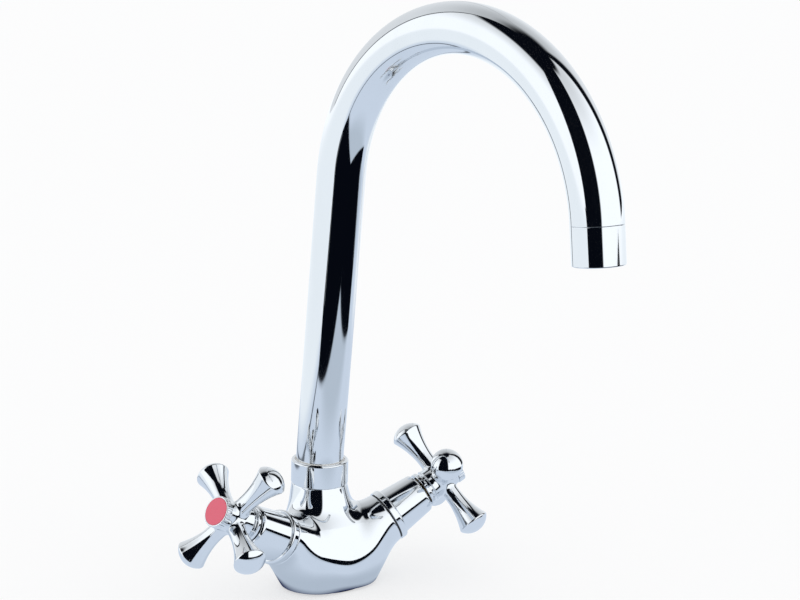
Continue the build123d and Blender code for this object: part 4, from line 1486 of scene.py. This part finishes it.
@dataclass(frozen=True)
class Studio:
    """A white floor with a faint shadow, a white surround, and what the chrome mirrors.

    Tall soft boxes stand round the object with the dark room between them and above them, and a low
    dark kerb stands along the front edge of the paper on the floor. Lengths are in metres.
    """

    view: ViewPoint = ViewPoint()
    paper: Paper = Paper()
    boxes: tuple[SoftBox, ...] = (
        SoftBox(start=-181.0, stop=-123.6, top=68.0, soft=0.8, over=9.0, fade=20.0, light=(0.84, 0.52)),
        SoftBox(start=-120.8, stop=-47.0, top=51.0, soft=0.8, over=3.0, fade=24.0, light=(1.20, 0.82)),
        SoftBox(start=14.5, stop=112.0, top=76.0, soft=2.5, over=3.0, fade=28.0, light=(1.22, 0.76)),
        SoftBox(start=133.0, stop=181.0, top=66.0, soft=4.0, over=9.0, fade=10.0, light=(0.92, 0.60)),
    )
    white: Triple = (1.0, 1.0, 1.0)
    room: Triple = (0.002, 0.003, 0.006)
    ground: Triple = (0.94, 0.945, 0.955)
    glow: float = 0.6
    kerb_height: float = 0.046
    kerb_reach: float = 0.7
    kerb_points: int = 57
    reach: float = 6.0

    def _compass(self, graph: Graph, direction: Socket) -> tuple[Socket, Socket]:
        """Turns a direction into angles.

        Args:
            graph: the nodes to add to.
            direction: the direction, of length one.

        Returns:
            Azimuth about the object, 0 towards the camera, and height above level, in degrees.
        """
        turn, degree = math.radians(self.view.azimuth), 180 / math.pi
        rightward = graph.vector("DOT_PRODUCT", direction, (math.cos(turn), -math.sin(turn), 0.0))
        toward = graph.vector("DOT_PRODUCT", direction, (-math.sin(turn), -math.cos(turn), 0.0))
        upward = graph.vector("DOT_PRODUCT", direction, (0.0, 0.0, 1.0))
        return rightward.operate("ARCTAN2", toward) * degree, upward.operate("ARCSINE") * degree

    def world(self) -> None:
        """White to the eye and as plain light; the soft boxes in the dark room to mirrored rays."""
        world = bpy.data.worlds.new("studio")
        bpy.context.scene.world = world
        world.use_nodes = True
        graph = Graph(world.node_tree)
        azimuth, height = self._compass(graph, graph.out("ShaderNodeTexCoord", "Generated"))
        mirrored: object = self.room
        for box in self.boxes:
            mirrored = graph.mix(mirrored, box.tone(graph, height), box.share(azimuth, height))
        glossy = graph.out("ShaderNodeLightPath", "Is Glossy Ray")
        light = graph.node("ShaderNodeBackground", {0: graph.mix(self.white, mirrored, glossy)})
        graph.end("ShaderNodeOutputWorld", light)

    def floor(self) -> None:
        """The floor: white with a soft shadow to the eye, paper before the dark room to mirrored rays."""
        mesh = bpy.data.meshes.new("floor")
        reach = self.reach
        corners = [(-reach, -reach, 0), (reach, -reach, 0), (reach, reach, 0), (-reach, reach, 0)]
        mesh.from_pydata(corners, [], [(0, 1, 2, 3)])
        floor = add_object("floor", mesh)
        material, graph = new_material("floor_paper")
        glossy = graph.out("ShaderNodeLightPath", "Is Glossy Ray")
        seen = graph.out("ShaderNodeLightPath", "Is Camera Ray")
        matt = graph.node("ShaderNodeBsdfDiffuse", {"Color": self.ground})
        tone = graph.mix(self.white, self.paper.colour(graph, self.room), glossy)
        shine = graph.node("ShaderNodeEmission", {0: tone})
        share = larger(glossy, seen * self.glow)
        graph.end("ShaderNodeOutputMaterial",
                  graph.node("ShaderNodeMixShader", {0: share, 1: matt.outputs[0], 2: shine.outputs[0]}))
        floor.data.materials.append(material)
        floor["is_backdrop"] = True

    def kerb(self) -> None:
        """A low dark wall along the paper's front edge, seen by mirrored rays alone."""
        aside = np.linspace(-self.kerb_reach, self.kerb_reach, self.kerb_points)
        foot = np.stack([aside + self.paper.corner[0], self.paper.edge(aside), np.zeros(len(aside))], -1)
        points = np.concatenate([foot, foot + np.array([0.0, 0.0, self.kerb_height])])
        near = np.arange(len(aside) - 1)
        faces = np.stack([near, near + 1, near + 1 + len(aside), near + len(aside)], -1)
        mesh = bpy.data.meshes.new("kerb")
        mesh.from_pydata(points.tolist(), [], faces.tolist())
        wall = add_object("kerb", mesh)
        wall.visible_camera = wall.visible_diffuse = wall.visible_shadow = wall.visible_transmission = False
        material, graph = new_material("kerb_dark")
        graph.end("ShaderNodeOutputMaterial", graph.node("ShaderNodeEmission", {0: self.room}))
        wall.data.materials.append(material)
        wall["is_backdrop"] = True

    def build(self) -> None:
        """Sets the studio up and the plain view of colours."""
        self.floor()
        self.kerb()
        self.world()
        scene = bpy.context.scene
        scene.camera = self.view.camera()
        scene.view_settings.view_transform = "Standard"


def size_at(stage: str, found: dict[str, list[list[float]]]) -> None:
    """Notes the object's bounds.

    Args:
        stage: the name to note them under.
        found: the bounds so far, which gain these.
    """
    low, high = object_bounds()
    found[stage] = [list(low), list(high)]


def main() -> None:
    """Builds the faucet's finished pieces and the studio."""
    logging.basicConfig(level=logging.INFO, format="%(name)s %(message)s")
    sizes: dict[str, list[list[float]]] = {}
    size_at("cad", sizes)
    paint = Paint()
    BodyPieces("body", paint).build()
    SpoutPieces("spout", paint).build()
    TapPieces("hot", side=-1, lever_angle=56.4, disc_slot="index_red", paint=paint).build()
    TapPieces("cold", side=1, lever_angle=52.8, disc_slot="index_blue", paint=paint).build()
    paint.cover(frame["nodes"], {part["node"]: part["material_slot"] for part in frame["record"]["subparts"]})
    Studio().build()
    size_at("finished", sizes)


if __name__ == "__main__":
    main()
